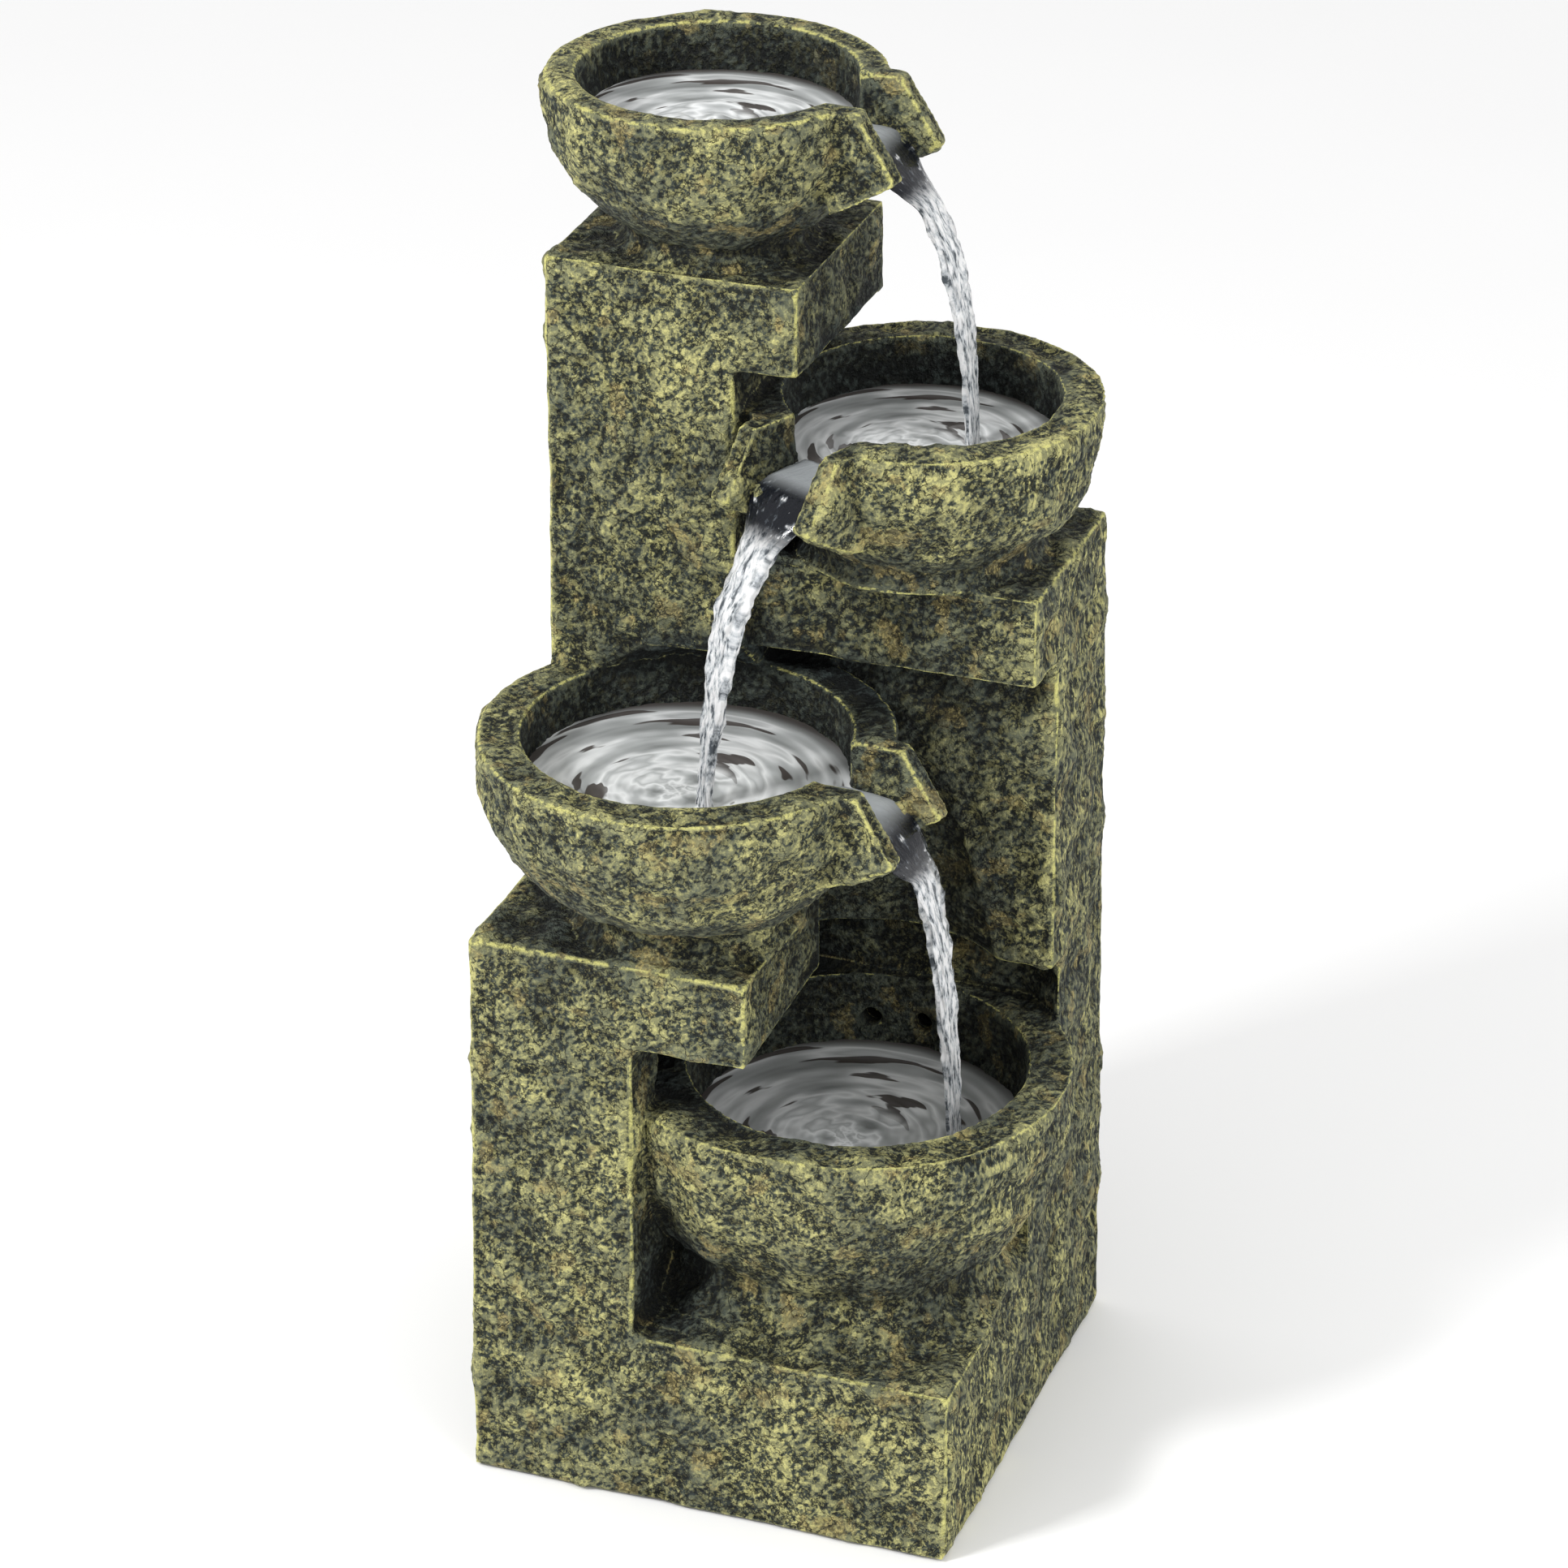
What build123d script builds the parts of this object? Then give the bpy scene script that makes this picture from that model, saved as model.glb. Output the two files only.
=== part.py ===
from build123d import *
from dataclasses import dataclass, replace
import math
import os

# Tabletop water fountain: a square plinth carries three stone towers, and four
# bowls step down them. Water runs from the top bowl to the basin, drains back
# through two ports into the plinth, and a small pump lifts it up the tall tower.
# Millimetres, +Z up, front towards -Y, origin on the table under the plinth's centre.

os.makedirs("parts", exist_ok=True)

# ---------------------------------------------------------------- stone sizes
base_width = 200.0
base_depth = 204.0
mat_thickness = 1.5      # the stone stands on a soft mat
wall = 9.0               # thickness of the cast walls
deck = 8.0               # plinth floor and deck, tower caps
side_draft = 0.008       # the outside leans in by this much per unit of height
front_draft = 0.021
back_draft = 0.030

plinth_height = 74.0
lower_tower_height = 164.0   # each tower is measured from the plinth's deck
side_tower_height = 294.0
tall_tower_height = 412.0

lower_width = 69.5
lower_overhang = 46.0
lower_cap = 35.5
tall_width = 80.0
tall_overhang = 25.0
tall_cap = 36.0
tall_depth = 113.5
block_depth = 100.5      # side tower under its cap block's front face
block_height = 37.0
recess_depth = 74.0      # side tower behind the hollowed face
recess_foot_height = 122.0
niche_taper = 9.0        # degrees the niche closes by towards its top

riser_shaft_depth = 40.0
riser_shaft_width = 50.0
flue_depth = 22.0        # return flue behind the basin
port_radius = 4.0
port_pitch = 21.6
port_above_seat = 74.0
port_offset = -6.5       # the port pair sits left of the basin's centre

# ---------------------------------------------------------------- bowl sizes
rim_fall = 8.0           # straight band under the rim
bowl_floor = 12.0
spout_half_outer = 26.5
spout_half_inner = 17.0
spout_run = 16.0
spout_drop = 26.0
spout_lip = 11.0
spout_skin = 7.0
spout_floor_drop = 22.0
channel_back = 16.0      # the channel's start, inside the rim
basin_spread = 15.0      # the basin's shell runs on to the lower tower, to close the niche
cove_sag = 0.36          # height of the foot cove's middle, as a share of the neck's
fairing_height = 14.4    # the tall tower's face slopes back above the third bowl
fairing_taper = 50.0

# ---------------------------------------------------------------- service parts
mat_inset = 5.0
mat_corner = 8.0
door_width = 50.0
door_height = 76.0
door_sill = 20.0         # above the plinth's deck
door_seat = 4.0          # width of the ledge that the door sits on
door_thickness = 3.5
door_gap = 0.6
door_depth = 9.0         # ledge to the back of the stone at the plinth's foot
tab_length = 9.0
tab_height = 14.0
tab_thickness = 1.8
pull_width = 24.0
pull_height = 6.0
pull_proud = 4.0
grommet_radius = 6.0
grommet_bore = 3.2
grommet_flange = 8.5
grommet_lip = 1.6

fit_gap = 0.1            # sliding clearance between moulded parts
run_gap = 0.05           # running clearance of the rotor on its shaft
inlet_radius = 5.0
inlet_flange = 9.0
inlet_lip = 2.0
inlet_bore = 3.2
washer_thickness = 1.5
nut_height = 6.0
nut_radius = 9.0
barb_length = 16.0
barb_bore = 2.8
hose_radius = 6.0
hose_bore = 4.0
hose_bends = ((0.0, 0.0, 100.0), (1.5, 2.5, 196.0), (6.0, 14.0, 284.0))  # right, forward and up
hose_end_run = 46.0      # straight run under the top bowl
clip_height = 6.0
clip_thickness = 1.6
clip_ear = 5.0

pump_length = 28.0       # motor block along X
pump_width = 38.0
pump_height = 42.0
pump_corner = 4.0
pump_stand_off = 4.0     # motor block to the sump's left wall
pump_inset = 18.0        # rotor axis to the back of the riser shaft
end_play = 0.5
cup_height = 6.0
cup_radius = 6.0
cup_stem = 2.2
shell = 1.8              # wall of the pump's mouldings
axis_drop = 14.5         # rotor axis below the pump's top
well_radius = 8.6
well_depth = 22.0
well_wall = 1.3
plug_thickness = 2.7
magnet_radius = 7.2
magnet_length = 17.0
hub_radius = 2.9
shaft_radius = 1.0
bush_length = 2.5
rear_bush_radius = 3.2
front_bush_radius = 1.9
impeller_radius = 10.5
impeller_disc = 1.5
blade_count = 6
blade_height = 4.5
blade_length = 8.5       # from half way out in the hub
blade_thickness = 1.2
volute_half = 15.0
volute_radius = 11.8
volute_length = 14.0
volute_face = 3.5        # front wall of the volute
seal_radius = 13.4
seal_width = 1.4
seal_thickness = 1.2
eye_radius = 6.5
spider_hub = 3.4
spider_arm = 1.6
nozzle_radius = 5.0
nozzle_bore = 3.2
nozzle_height = 8.5
intake_length = 16.0
intake_lap = 3.0         # how far the intake cover slides over the volute
slot_width = 2.4
slot_height = 22.0
slot_pitch = 5.0
slot_count = 5
sponge_half = 14.5
sponge_thickness = 9.0
dial_radius = 8.0
dial_thickness = 2.0
dial_pin = 2.0
dial_grip = 4.0
core_thickness = 10.0
core_half = 16.0
core_top = 11.5
core_bar_top = 14.5      # below the rotor axis
core_bar = 6.0
pole_gap = 3.0
coil_length = 18.0
coil_wrap = 3.5

# ---------------------------------------------------------------- derived places
left = -base_width / 2
right = base_width / 2
front = -base_depth / 2
back = base_depth / 2
deck_top = mat_thickness + plinth_height
lower_top = deck_top + lower_tower_height
side_top = deck_top + side_tower_height
tall_top = deck_top + tall_tower_height
lower_face_x = left + lower_width
lower_edge_x = lower_face_x + lower_overhang
tall_face_x = left + tall_width
tall_edge_x = tall_face_x + tall_overhang
tall_front_y = back - tall_depth
block_front_y = back - block_depth
recess_front_y = back - recess_depth
recess_foot = deck_top + recess_foot_height
block_underside = side_top - block_height


def side_lean(z):
    """How far a side face has leaned in at height z."""
    return side_draft * (z - mat_thickness)


def back_face(z):
    """Y of the stone's back face at height z."""
    return back - back_draft * (z - mat_thickness)


@dataclass
class Bowl:
    """A turned bowl: its centre, the height it stands on and its profile."""

    x: float
    y: float
    seat: float
    height: float
    radius: float
    rim: float
    neck_radius: float
    neck_height: float
    foot_radius: float
    floor_radius: float
    spout_angle: float = 0.0

    @property
    def rim_z(self):
        return self.seat + self.height

    @property
    def inner_radius(self):
        return self.radius - self.rim

    @property
    def axis(self):
        return Axis((self.x, self.y, 0), (0, 0, 1))

    @property
    def section_plane(self):
        """Vertical plane through the bowl's axis, local x outwards, y up."""
        return Plane(origin=(self.x, self.y, self.seat), x_dir=(1, 0, 0), z_dir=(0, -1, 0))

    @property
    def spout_plane(self):
        """Vertical plane along the spout, its origin on the axis at rim level."""
        a = math.radians(self.spout_angle)
        return Plane(
            origin=(self.x, self.y, self.rim_z),
            x_dir=(math.cos(a), math.sin(a), 0),
            z_dir=(math.sin(a), -math.cos(a), 0),
        )


top = Bowl(
    x=left + 58,
    y=back - 71,
    seat=tall_top,
    height=67,
    radius=65,
    rim=12,
    neck_radius=35,
    neck_height=9,
    foot_radius=39,
    floor_radius=20,
    spout_angle=-3,
)
second = Bowl(
    x=tall_face_x + 58.5,
    y=back - 65,
    seat=side_top,
    height=64,
    radius=69.5,
    rim=16.5,
    neck_radius=46,
    neck_height=10,
    foot_radius=50,
    floor_radius=24,
    spout_angle=-116,
)
third = Bowl(
    x=left + 74,
    y=tall_front_y - 36.5,
    seat=lower_top,
    height=79,
    radius=80,
    rim=17,
    neck_radius=41,
    neck_height=12,
    foot_radius=46,
    floor_radius=26,
    spout_angle=-5,
)
basin = Bowl(
    x=right - 67,
    y=recess_front_y - 45,
    seat=deck_top,
    height=94,
    radius=85,
    rim=18,
    neck_radius=60,
    neck_height=20,
    foot_radius=80,
    floor_radius=34,
)


# ---------------------------------------------------------------- shared shapes
def box_between(low, high, mode=Mode.ADD):
    """A box from its lowest to its highest corner."""
    size = Vector(*high) - Vector(*low)
    with Locations((Vector(*low) + Vector(*high)) / 2):
        Box(size.X, size.Y, size.Z, mode=mode)


def stone_block():
    """The leaning outer block that every stone section is cut from."""
    ends = []
    for z in (mat_thickness, tall_top):
        west, east = left + side_lean(z), right - side_lean(z)
        south = front + front_draft * (z - mat_thickness)
        north = back_face(z)
        with BuildSketch(Plane.XY.offset(z)) as end:
            with Locations(((west + east) / 2, (south + north) / 2)):
                Rectangle(east - west, north - south)
        ends.append(end.sketch.face())
    loft(ends)


def turned(bowl):
    """Revolve a bowl's outside, filled up to the rim."""
    neck = (bowl.neck_radius, bowl.neck_height)
    flare = (bowl.foot_radius - bowl.neck_radius) / 4
    shoulder = (bowl.radius, bowl.height - rim_fall)
    with BuildSketch(bowl.section_plane) as section:
        with BuildLine():
            foot = (bowl.foot_radius, 0)
            ThreePointArc(foot, (bowl.neck_radius + flare, bowl.neck_height * cove_sag), neck)
            TangentArc(shoulder, neck, tangent=(0, -1))
            Polyline(shoulder, (bowl.radius, bowl.height), (0, bowl.height), (0, 0), foot)
        make_face()
    revolve(section.sketch, axis=bowl.axis)


def hollow(bowl):
    """Revolve the inside of a bowl out of it."""
    lip = (bowl.inner_radius, bowl.height - rim_fall)
    base = (bowl.floor_radius, bowl_floor)
    brim = bowl.height + 1
    with BuildSketch(bowl.section_plane) as section:
        with BuildLine():
            TangentArc(lip, base, tangent=(0, -1))
            Polyline(base, (0, bowl_floor), (0, brim), (bowl.inner_radius, brim), lip)
        make_face()
    revolve(section.sketch, axis=bowl.axis, mode=Mode.SUBTRACT)


def spout_block(bowl):
    """The solid chute under a spout, as wide as its two lips."""
    crest = bowl.radius + 2
    slope = math.hypot(spout_run, spout_drop)
    end = spout_lip + spout_skin
    tip = (crest + spout_run, -spout_drop)
    heel = (tip[0] - end * spout_drop / slope, tip[1] - end * spout_run / slope)
    root = bowl.inner_radius + 2
    with BuildSketch(bowl.spout_plane) as chute:
        with BuildLine():
            Polyline((root, 0), (crest, 0), tip, heel, (root, heel[1] - spout_skin), close=True)
        make_face()
    extrude(chute.sketch, amount=spout_half_outer, both=True)


def spout_channel(bowl):
    """Cut the water's channel: level through the rim, then down the chute."""
    start = bowl.inner_radius - channel_back
    sill = -spout_floor_drop
    brink = bowl.radius + 3
    clear = bowl.radius + 3 * spout_run
    low = sill - 2 * spout_drop
    with BuildSketch(bowl.spout_plane) as channel:
        with BuildLine():
            Polyline(
                (start, rim_fall),
                (start, sill),
                (brink, sill),
                (brink + 2 * spout_run, low),
                (clear, low),
                (clear, rim_fall),
                close=True,
            )
        make_face()
    extrude(channel.sketch, amount=spout_half_inner, both=True, mode=Mode.SUBTRACT)


def brow(bowl, top_z):
    """Cut a round clearance above a rim up to top_z, no deeper than the basin's flat back."""
    with BuildSketch(Plane.XY.offset(bowl.rim_z)) as disc:
        with Locations((bowl.x, bowl.y)):
            Circle(bowl.radius)
        with Locations((bowl.x, basin_back_y)):
            Rectangle(
                2 * base_width,
                2 * base_depth,
                align=(Align.CENTER, Align.MAX),
                mode=Mode.INTERSECT,
            )
    extrude(disc.sketch, amount=top_z - bowl.rim_z, mode=Mode.SUBTRACT)


def niche():
    """Cut the tall round hollow that rises from the back of the basin."""
    foot = basin.rim_z - rim_fall
    with BuildSketch(Plane.XY.offset(foot)) as disc:
        with Locations((basin.x, basin.y)):
            Circle(basin.inner_radius)
    extrude(disc.sketch, amount=block_underside - foot, taper=niche_taper, mode=Mode.SUBTRACT)


def ring(plane, outer, inner, thickness):
    """A flat ring or tube that stands on a plane."""
    with BuildSketch(plane) as band:
        Circle(outer)
        Circle(inner, mode=Mode.SUBTRACT)
    extrude(band.sketch, amount=thickness)


def across(x):
    """Plane square to the rotor axis at x: local x runs back, local y up."""
    return Plane(origin=(x, pump_y, axis_z), x_dir=(0, 1, 0), z_dir=(1, 0, 0))


def finish_part(part, label):
    """Name a finished piece and write it."""
    part.label = label
    export_step(part, f"parts/{label}.step")


# ---------------------------------------------------------------- inner places
flue_back_y = back_face(block_underside) - deck
flue_front_y = flue_back_y - flue_depth
shaft_back_y = back_face(tall_top) - deck
shaft_front_y = shaft_back_y - riser_shaft_depth
shaft_left_x = left + wall + side_lean(tall_top)
shaft_right_x = shaft_left_x + riser_shaft_width
shaft_top = tall_top - deck
flue_left_x = tall_face_x + wall
flue_right_x = right - wall - side_lean(side_top)
sump_floor = mat_thickness + deck
upper_shaft_foot = third.rim_z + 3 * wall
door_x = (shaft_left_x + shaft_right_x) / 2
door_z = deck_top + door_sill + door_height / 2
door_ledge_y = back - door_depth
port_z = basin.seat + port_above_seat
ports_plane = Plane(
    origin=(basin.x + port_offset, basin.y, port_z), x_dir=(1, 0, 0), z_dir=(0, 1, 0)
)
grommet_x = flue_left_x + 2 * grommet_flange
grommet_z = deck_top + 2 * grommet_flange
basin_back_y = flue_front_y - wall

pump_y = shaft_back_y - pump_inset
pump_foot = sump_floor + cup_height
pump_top = pump_foot + pump_height
axis_z = pump_top - axis_drop
motor_rear_x = left + wall + pump_stand_off
motor_front_x = motor_rear_x + pump_length
volute_front_x = motor_front_x + volute_length
intake_front_x = volute_front_x + intake_length
well_end_x = motor_front_x - well_depth
outlet_x = motor_front_x + (volute_length - volute_face) / 2
nozzle_top = axis_z + volute_half + nozzle_height
barb_foot = nozzle_top + 1
hose_foot = barb_foot + 1
barb_top = shaft_top - washer_thickness - nut_height - 1
hose_top = barb_top - 1

# ---------------------------------------------------------------- plinth
with BuildPart() as plinth:
    stone_block()
    box_between((left, front, mat_thickness), (right, back, deck_top), Mode.INTERSECT)
    box_between(
        (left + wall, front + wall, sump_floor),
        (right - wall, back - wall - 2, deck_top - deck),
        Mode.SUBTRACT,
    )
    box_between(
        (shaft_left_x, shaft_front_y, sump_floor),
        (shaft_right_x, shaft_back_y, deck_top),
        Mode.SUBTRACT,
    )
    box_between(
        (flue_left_x, flue_front_y, sump_floor),
        (flue_right_x, flue_back_y, deck_top),
        Mode.SUBTRACT,
    )
finish_part(plinth.part, "plinth")

with BuildPart() as base_mat:
    with BuildSketch():
        RectangleRounded(base_width - 2 * mat_inset, base_depth - 2 * mat_inset, mat_corner)
    extrude(amount=mat_thickness)
finish_part(base_mat.part, "base_mat")

# ---------------------------------------------------------------- room for the bowls
with BuildPart() as second_room:
    turned(second)
    spout_block(second)

with BuildPart() as third_room:
    turned(third)
    spout_block(third)

with BuildPart() as basin_room:
    turned(replace(basin, x=basin.x - basin_spread))
    box_between((lower_face_x, 2 * front, 0), (2 * right, 2 * back, tall_top), Mode.INTERSECT)
    turned(basin)
    box_between(
        (right - side_lean(deck_top), 2 * front, deck_top),
        (2 * right, back, deck_top + basin.neck_height),
        Mode.SUBTRACT,
    )
    box_between(
        (2 * left, basin_back_y, deck_top),
        (2 * right, 2 * back, basin.rim_z),
        Mode.SUBTRACT,
    )

# ---------------------------------------------------------------- towers
with BuildPart() as lower_tower:
    stone_block()
    box_between((left, front, deck_top), (lower_edge_x, tall_front_y, lower_top), Mode.INTERSECT)
    box_between(
        (lower_face_x, front, deck_top),
        (lower_edge_x, tall_front_y, lower_top - lower_cap),
        Mode.SUBTRACT,
    )
    add(basin_room.part, mode=Mode.SUBTRACT)
    brow(basin, lower_top - lower_cap)
    box_between(
        (left + wall + 2, front + 2 * wall, deck_top),
        (basin.x - basin.radius - wall, tall_front_y - wall, lower_top - lower_cap),
        Mode.SUBTRACT,
    )
finish_part(lower_tower.part, "lower_tower")

with BuildPart() as tall_tower:
    stone_block()
    box_between((left, tall_front_y, deck_top), (tall_edge_x, back, tall_top), Mode.INTERSECT)
    box_between(
        (tall_face_x, tall_front_y, deck_top),
        (tall_edge_x, back, tall_top - tall_cap),
        Mode.SUBTRACT,
    )
    add(second_room.part, mode=Mode.SUBTRACT)
    add(third_room.part, mode=Mode.SUBTRACT)
    add(basin_room.part, mode=Mode.SUBTRACT)
    brow(basin, recess_foot)
    niche()
    with BuildSketch(Plane.XY.offset(third.rim_z)) as fairing:
        with Locations((third.x, third.y)):
            Circle(third.inner_radius)
    extrude(fairing.sketch, amount=fairing_height, taper=fairing_taper, mode=Mode.SUBTRACT)
    box_between(
        (shaft_left_x, shaft_front_y, deck_top),
        (shaft_right_x, shaft_back_y, shaft_top),
        Mode.SUBTRACT,
    )
    box_between(
        (shaft_left_x, tall_front_y + wall, upper_shaft_foot),
        (top.x + hose_radius + 1, shaft_back_y, shaft_top),
        Mode.SUBTRACT,
    )
    box_between(
        (shaft_left_x, tall_front_y + wall, tall_top - tall_cap),
        (tall_face_x - wall / 2, shaft_back_y, shaft_top),
        Mode.SUBTRACT,
    )
    box_between(
        (door_x - door_width / 2, door_ledge_y, door_z - door_height / 2),
        (door_x + door_width / 2, back, door_z + door_height / 2),
        Mode.SUBTRACT,
    )
    box_between(
        (door_x - door_width / 2 + door_seat, shaft_back_y - 1, door_z - door_height / 2 + door_seat),
        (door_x + door_width / 2 - door_seat, back, door_z + door_height / 2 - door_seat),
        Mode.SUBTRACT,
    )
    with Locations((top.x, top.y, tall_top)):
        Hole(inlet_radius + fit_gap, depth=2 * deck)
finish_part(tall_tower.part, "tall_tower")

with BuildPart() as side_tower:
    stone_block()
    box_between((tall_face_x, block_front_y, deck_top), (right, back, side_top), Mode.INTERSECT)
    box_between(
        (tall_face_x, block_front_y, recess_foot),
        (right, recess_front_y, block_underside),
        Mode.SUBTRACT,
    )
    add(second_room.part, mode=Mode.SUBTRACT)
    add(third_room.part, mode=Mode.SUBTRACT)
    add(basin_room.part, mode=Mode.SUBTRACT)
    brow(basin, recess_foot)
    brow(third, block_underside)
    niche()
    box_between(
        (flue_left_x, flue_front_y, deck_top),
        (flue_right_x, flue_back_y, side_top - deck),
        Mode.SUBTRACT,
    )
    box_between(
        (flue_left_x, block_front_y + wall, block_underside + deck),
        (flue_right_x, flue_back_y, side_top - deck),
        Mode.SUBTRACT,
    )
    with BuildSketch(ports_plane):
        with GridLocations(port_pitch, 1, 2, 1):
            Circle(port_radius)
    extrude(amount=flue_front_y + 1 - basin.y, mode=Mode.SUBTRACT)
    with BuildSketch(Plane.XZ.offset(-back)):
        with Locations((grommet_x, grommet_z)):
            Circle(grommet_radius)
    extrude(amount=back - flue_back_y + 1, mode=Mode.SUBTRACT)
finish_part(side_tower.part, "side_tower")

# ---------------------------------------------------------------- bowls
for bowl, name in ((top, "top_bowl"), (second, "second_bowl"), (third, "third_bowl")):
    with BuildPart() as casting:
        turned(bowl)
        spout_block(bowl)
        hollow(bowl)
        spout_channel(bowl)
        if bowl is top:
            with Locations((top.x, top.y, top.seat + bowl_floor)):
                Hole(inlet_radius + fit_gap, depth=2 * bowl_floor)
    finish_part(casting.part, name)

with BuildPart() as basin_bowl:
    add(basin_room.part)
    hollow(basin)
    with BuildSketch(ports_plane):
        with GridLocations(port_pitch, 1, 2, 1):
            Circle(port_radius)
    extrude(amount=basin.radius, mode=Mode.SUBTRACT)
finish_part(basin_bowl.part, "basin_bowl")

# ---------------------------------------------------------------- rear door and cable outlet
with BuildPart() as rear_door:
    plate_half = door_width / 2 - door_gap
    plate_rise = door_height / 2 - door_gap
    box_between(
        (door_x - plate_half, door_ledge_y, door_z - plate_rise),
        (door_x + plate_half, door_ledge_y + door_thickness, door_z + plate_rise),
    )
    tab_out = door_width / 2 - door_seat - door_gap
    for side in (-1, 1):
        edges = sorted((door_x + side * tab_out, door_x + side * (tab_out - tab_thickness)))
        box_between(
            (edges[0], door_ledge_y - tab_length, door_z - tab_height / 2),
            (edges[1], door_ledge_y, door_z + tab_height / 2),
        )
    box_between(
        (door_x - pull_width / 2, door_ledge_y + door_thickness, door_z - pull_height / 2),
        (door_x + pull_width / 2, door_ledge_y + door_thickness + pull_proud, door_z + pull_height / 2),
    )
finish_part(rear_door.part, "rear_door")

with BuildPart() as cable_grommet:
    outer_y = back_face(grommet_z - grommet_flange)
    for start, depth, radius in (
        (flue_back_y - grommet_lip, grommet_lip, grommet_flange),
        (flue_back_y, outer_y - flue_back_y, grommet_radius - fit_gap),
        (outer_y, grommet_lip, grommet_flange),
    ):
        with BuildSketch(Plane.XZ.offset(-start)):
            with Locations((grommet_x, grommet_z)):
                Circle(radius)
                Circle(grommet_bore, mode=Mode.SUBTRACT)
        extrude(amount=-depth)
finish_part(cable_grommet.part, "cable_grommet")

# ---------------------------------------------------------------- riser
def upright(x, y, z):
    """Horizontal plane at a point."""
    return Plane(origin=(x, y, z))


with BuildPart() as inlet_fitting:
    fitting_top = top.seat + bowl_floor + inlet_lip
    with BuildSketch(upright(top.x, top.y, top.seat + bowl_floor)):
        Circle(inlet_flange)
    extrude(amount=inlet_lip)
    with BuildSketch(upright(top.x, top.y, barb_top)):
        Circle(inlet_radius)
    extrude(amount=top.seat + bowl_floor - barb_top)
    with BuildSketch(upright(top.x, top.y, barb_top - barb_length)):
        Circle(hose_bore - fit_gap)
    extrude(amount=barb_length)
    with Locations((top.x, top.y, fitting_top)):
        Hole(barb_bore, depth=2 * top.height)
    with Locations((top.x, top.y, fitting_top)):
        Hole(inlet_bore, depth=fitting_top - barb_top)
finish_part(inlet_fitting.part, "inlet_fitting")

with BuildPart() as inlet_washer:
    seat = upright(top.x, top.y, shaft_top - washer_thickness)
    ring(seat, inlet_flange, inlet_radius + fit_gap, washer_thickness)
finish_part(inlet_washer.part, "inlet_washer")

with BuildPart() as inlet_nut:
    with BuildSketch(upright(top.x, top.y, shaft_top - washer_thickness - nut_height)):
        RegularPolygon(nut_radius, 6)
        Circle(inlet_radius + fit_gap, mode=Mode.SUBTRACT)
    extrude(amount=nut_height)
finish_part(inlet_nut.part, "inlet_nut")

# The hose leaves the pump straight up, leans forward in the tall tower and
# meets the top bowl's fitting straight on.
hose_points = [
    (outlet_x, pump_y, hose_foot),
    *((outlet_x + x, pump_y - y, hose_foot + z) for x, y, z in hose_bends),
    (top.x, top.y, hose_top - hose_end_run),
    (top.x, top.y, hose_top),
]


def corner_radius(before, corner, after):
    """The largest radius that the two runs beside a corner allow."""
    run_in = Vector(*corner) - Vector(*before)
    run_out = Vector(*after) - Vector(*corner)
    turn = math.radians(run_in.get_angle(run_out))
    return 0.45 * min(run_in.length, run_out.length) / math.tan(turn / 2)


hose_radii = [corner_radius(*hose_points[i : i + 3]) for i in range(len(hose_points) - 2)]
print("hose bend radii", [round(radius) for radius in hose_radii])

with BuildPart() as riser_hose:
    with BuildLine() as route:
        FilletPolyline(*hose_points, radius=hose_radii)
    with BuildSketch(Plane(origin=route.line @ 0, z_dir=route.line % 0)):
        Circle(hose_radius)
        Circle(hose_bore, mode=Mode.SUBTRACT)
    sweep()
route_length = sum(edge.length for edge in route.edges())
route_volume = math.pi * (hose_radius**2 - hose_bore**2) * route_length
print("hose volume over section times length", riser_hose.part.volume / route_volume)
finish_part(riser_hose.part, "riser_hose")

with BuildPart() as hose_clips:
    for x, y, z in (
        (outlet_x, pump_y, hose_foot + clip_height / 2),
        (top.x, top.y, hose_top - 1.5 * clip_height),
    ):
        with BuildSketch(upright(x, y, z)):
            Circle(hose_radius + fit_gap + clip_thickness)
            with Locations((hose_radius + clip_ear / 2 + clip_thickness, 0)):
                Rectangle(clip_ear + clip_thickness, clip_ear)
            Circle(hose_radius + fit_gap, mode=Mode.SUBTRACT)
        extrude(amount=clip_height)
finish_part(hose_clips.part, "hose_clips")

# ---------------------------------------------------------------- pump
housing_mid = pump_foot + pump_height / 2 - axis_z
with BuildPart() as pump_housing:
    with BuildSketch(across(motor_rear_x)):
        with Locations((0, housing_mid)):
            RectangleRounded(pump_width, pump_height, pump_corner)
    extrude(amount=pump_length)
    with BuildSketch(across(motor_rear_x)):
        with Locations((0, housing_mid)):
            Rectangle(pump_width - 2 * shell, pump_height - 2 * shell)
    extrude(amount=well_depth, mode=Mode.SUBTRACT)
    with BuildSketch(across(well_end_x - well_wall)):
        Circle(well_radius + well_wall)
    extrude(amount=well_depth + well_wall)
    with BuildSketch(across(well_end_x)):
        Circle(well_radius)
    extrude(amount=well_depth, mode=Mode.SUBTRACT)
finish_part(pump_housing.part, "pump_housing")

with BuildPart() as potting_plug:
    with BuildSketch(across(motor_rear_x)):
        with Locations((0, housing_mid)):
            Rectangle(pump_width - 2 * shell, pump_height - 2 * shell)
    extrude(amount=plug_thickness)
finish_part(potting_plug.part, "potting_plug")

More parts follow.
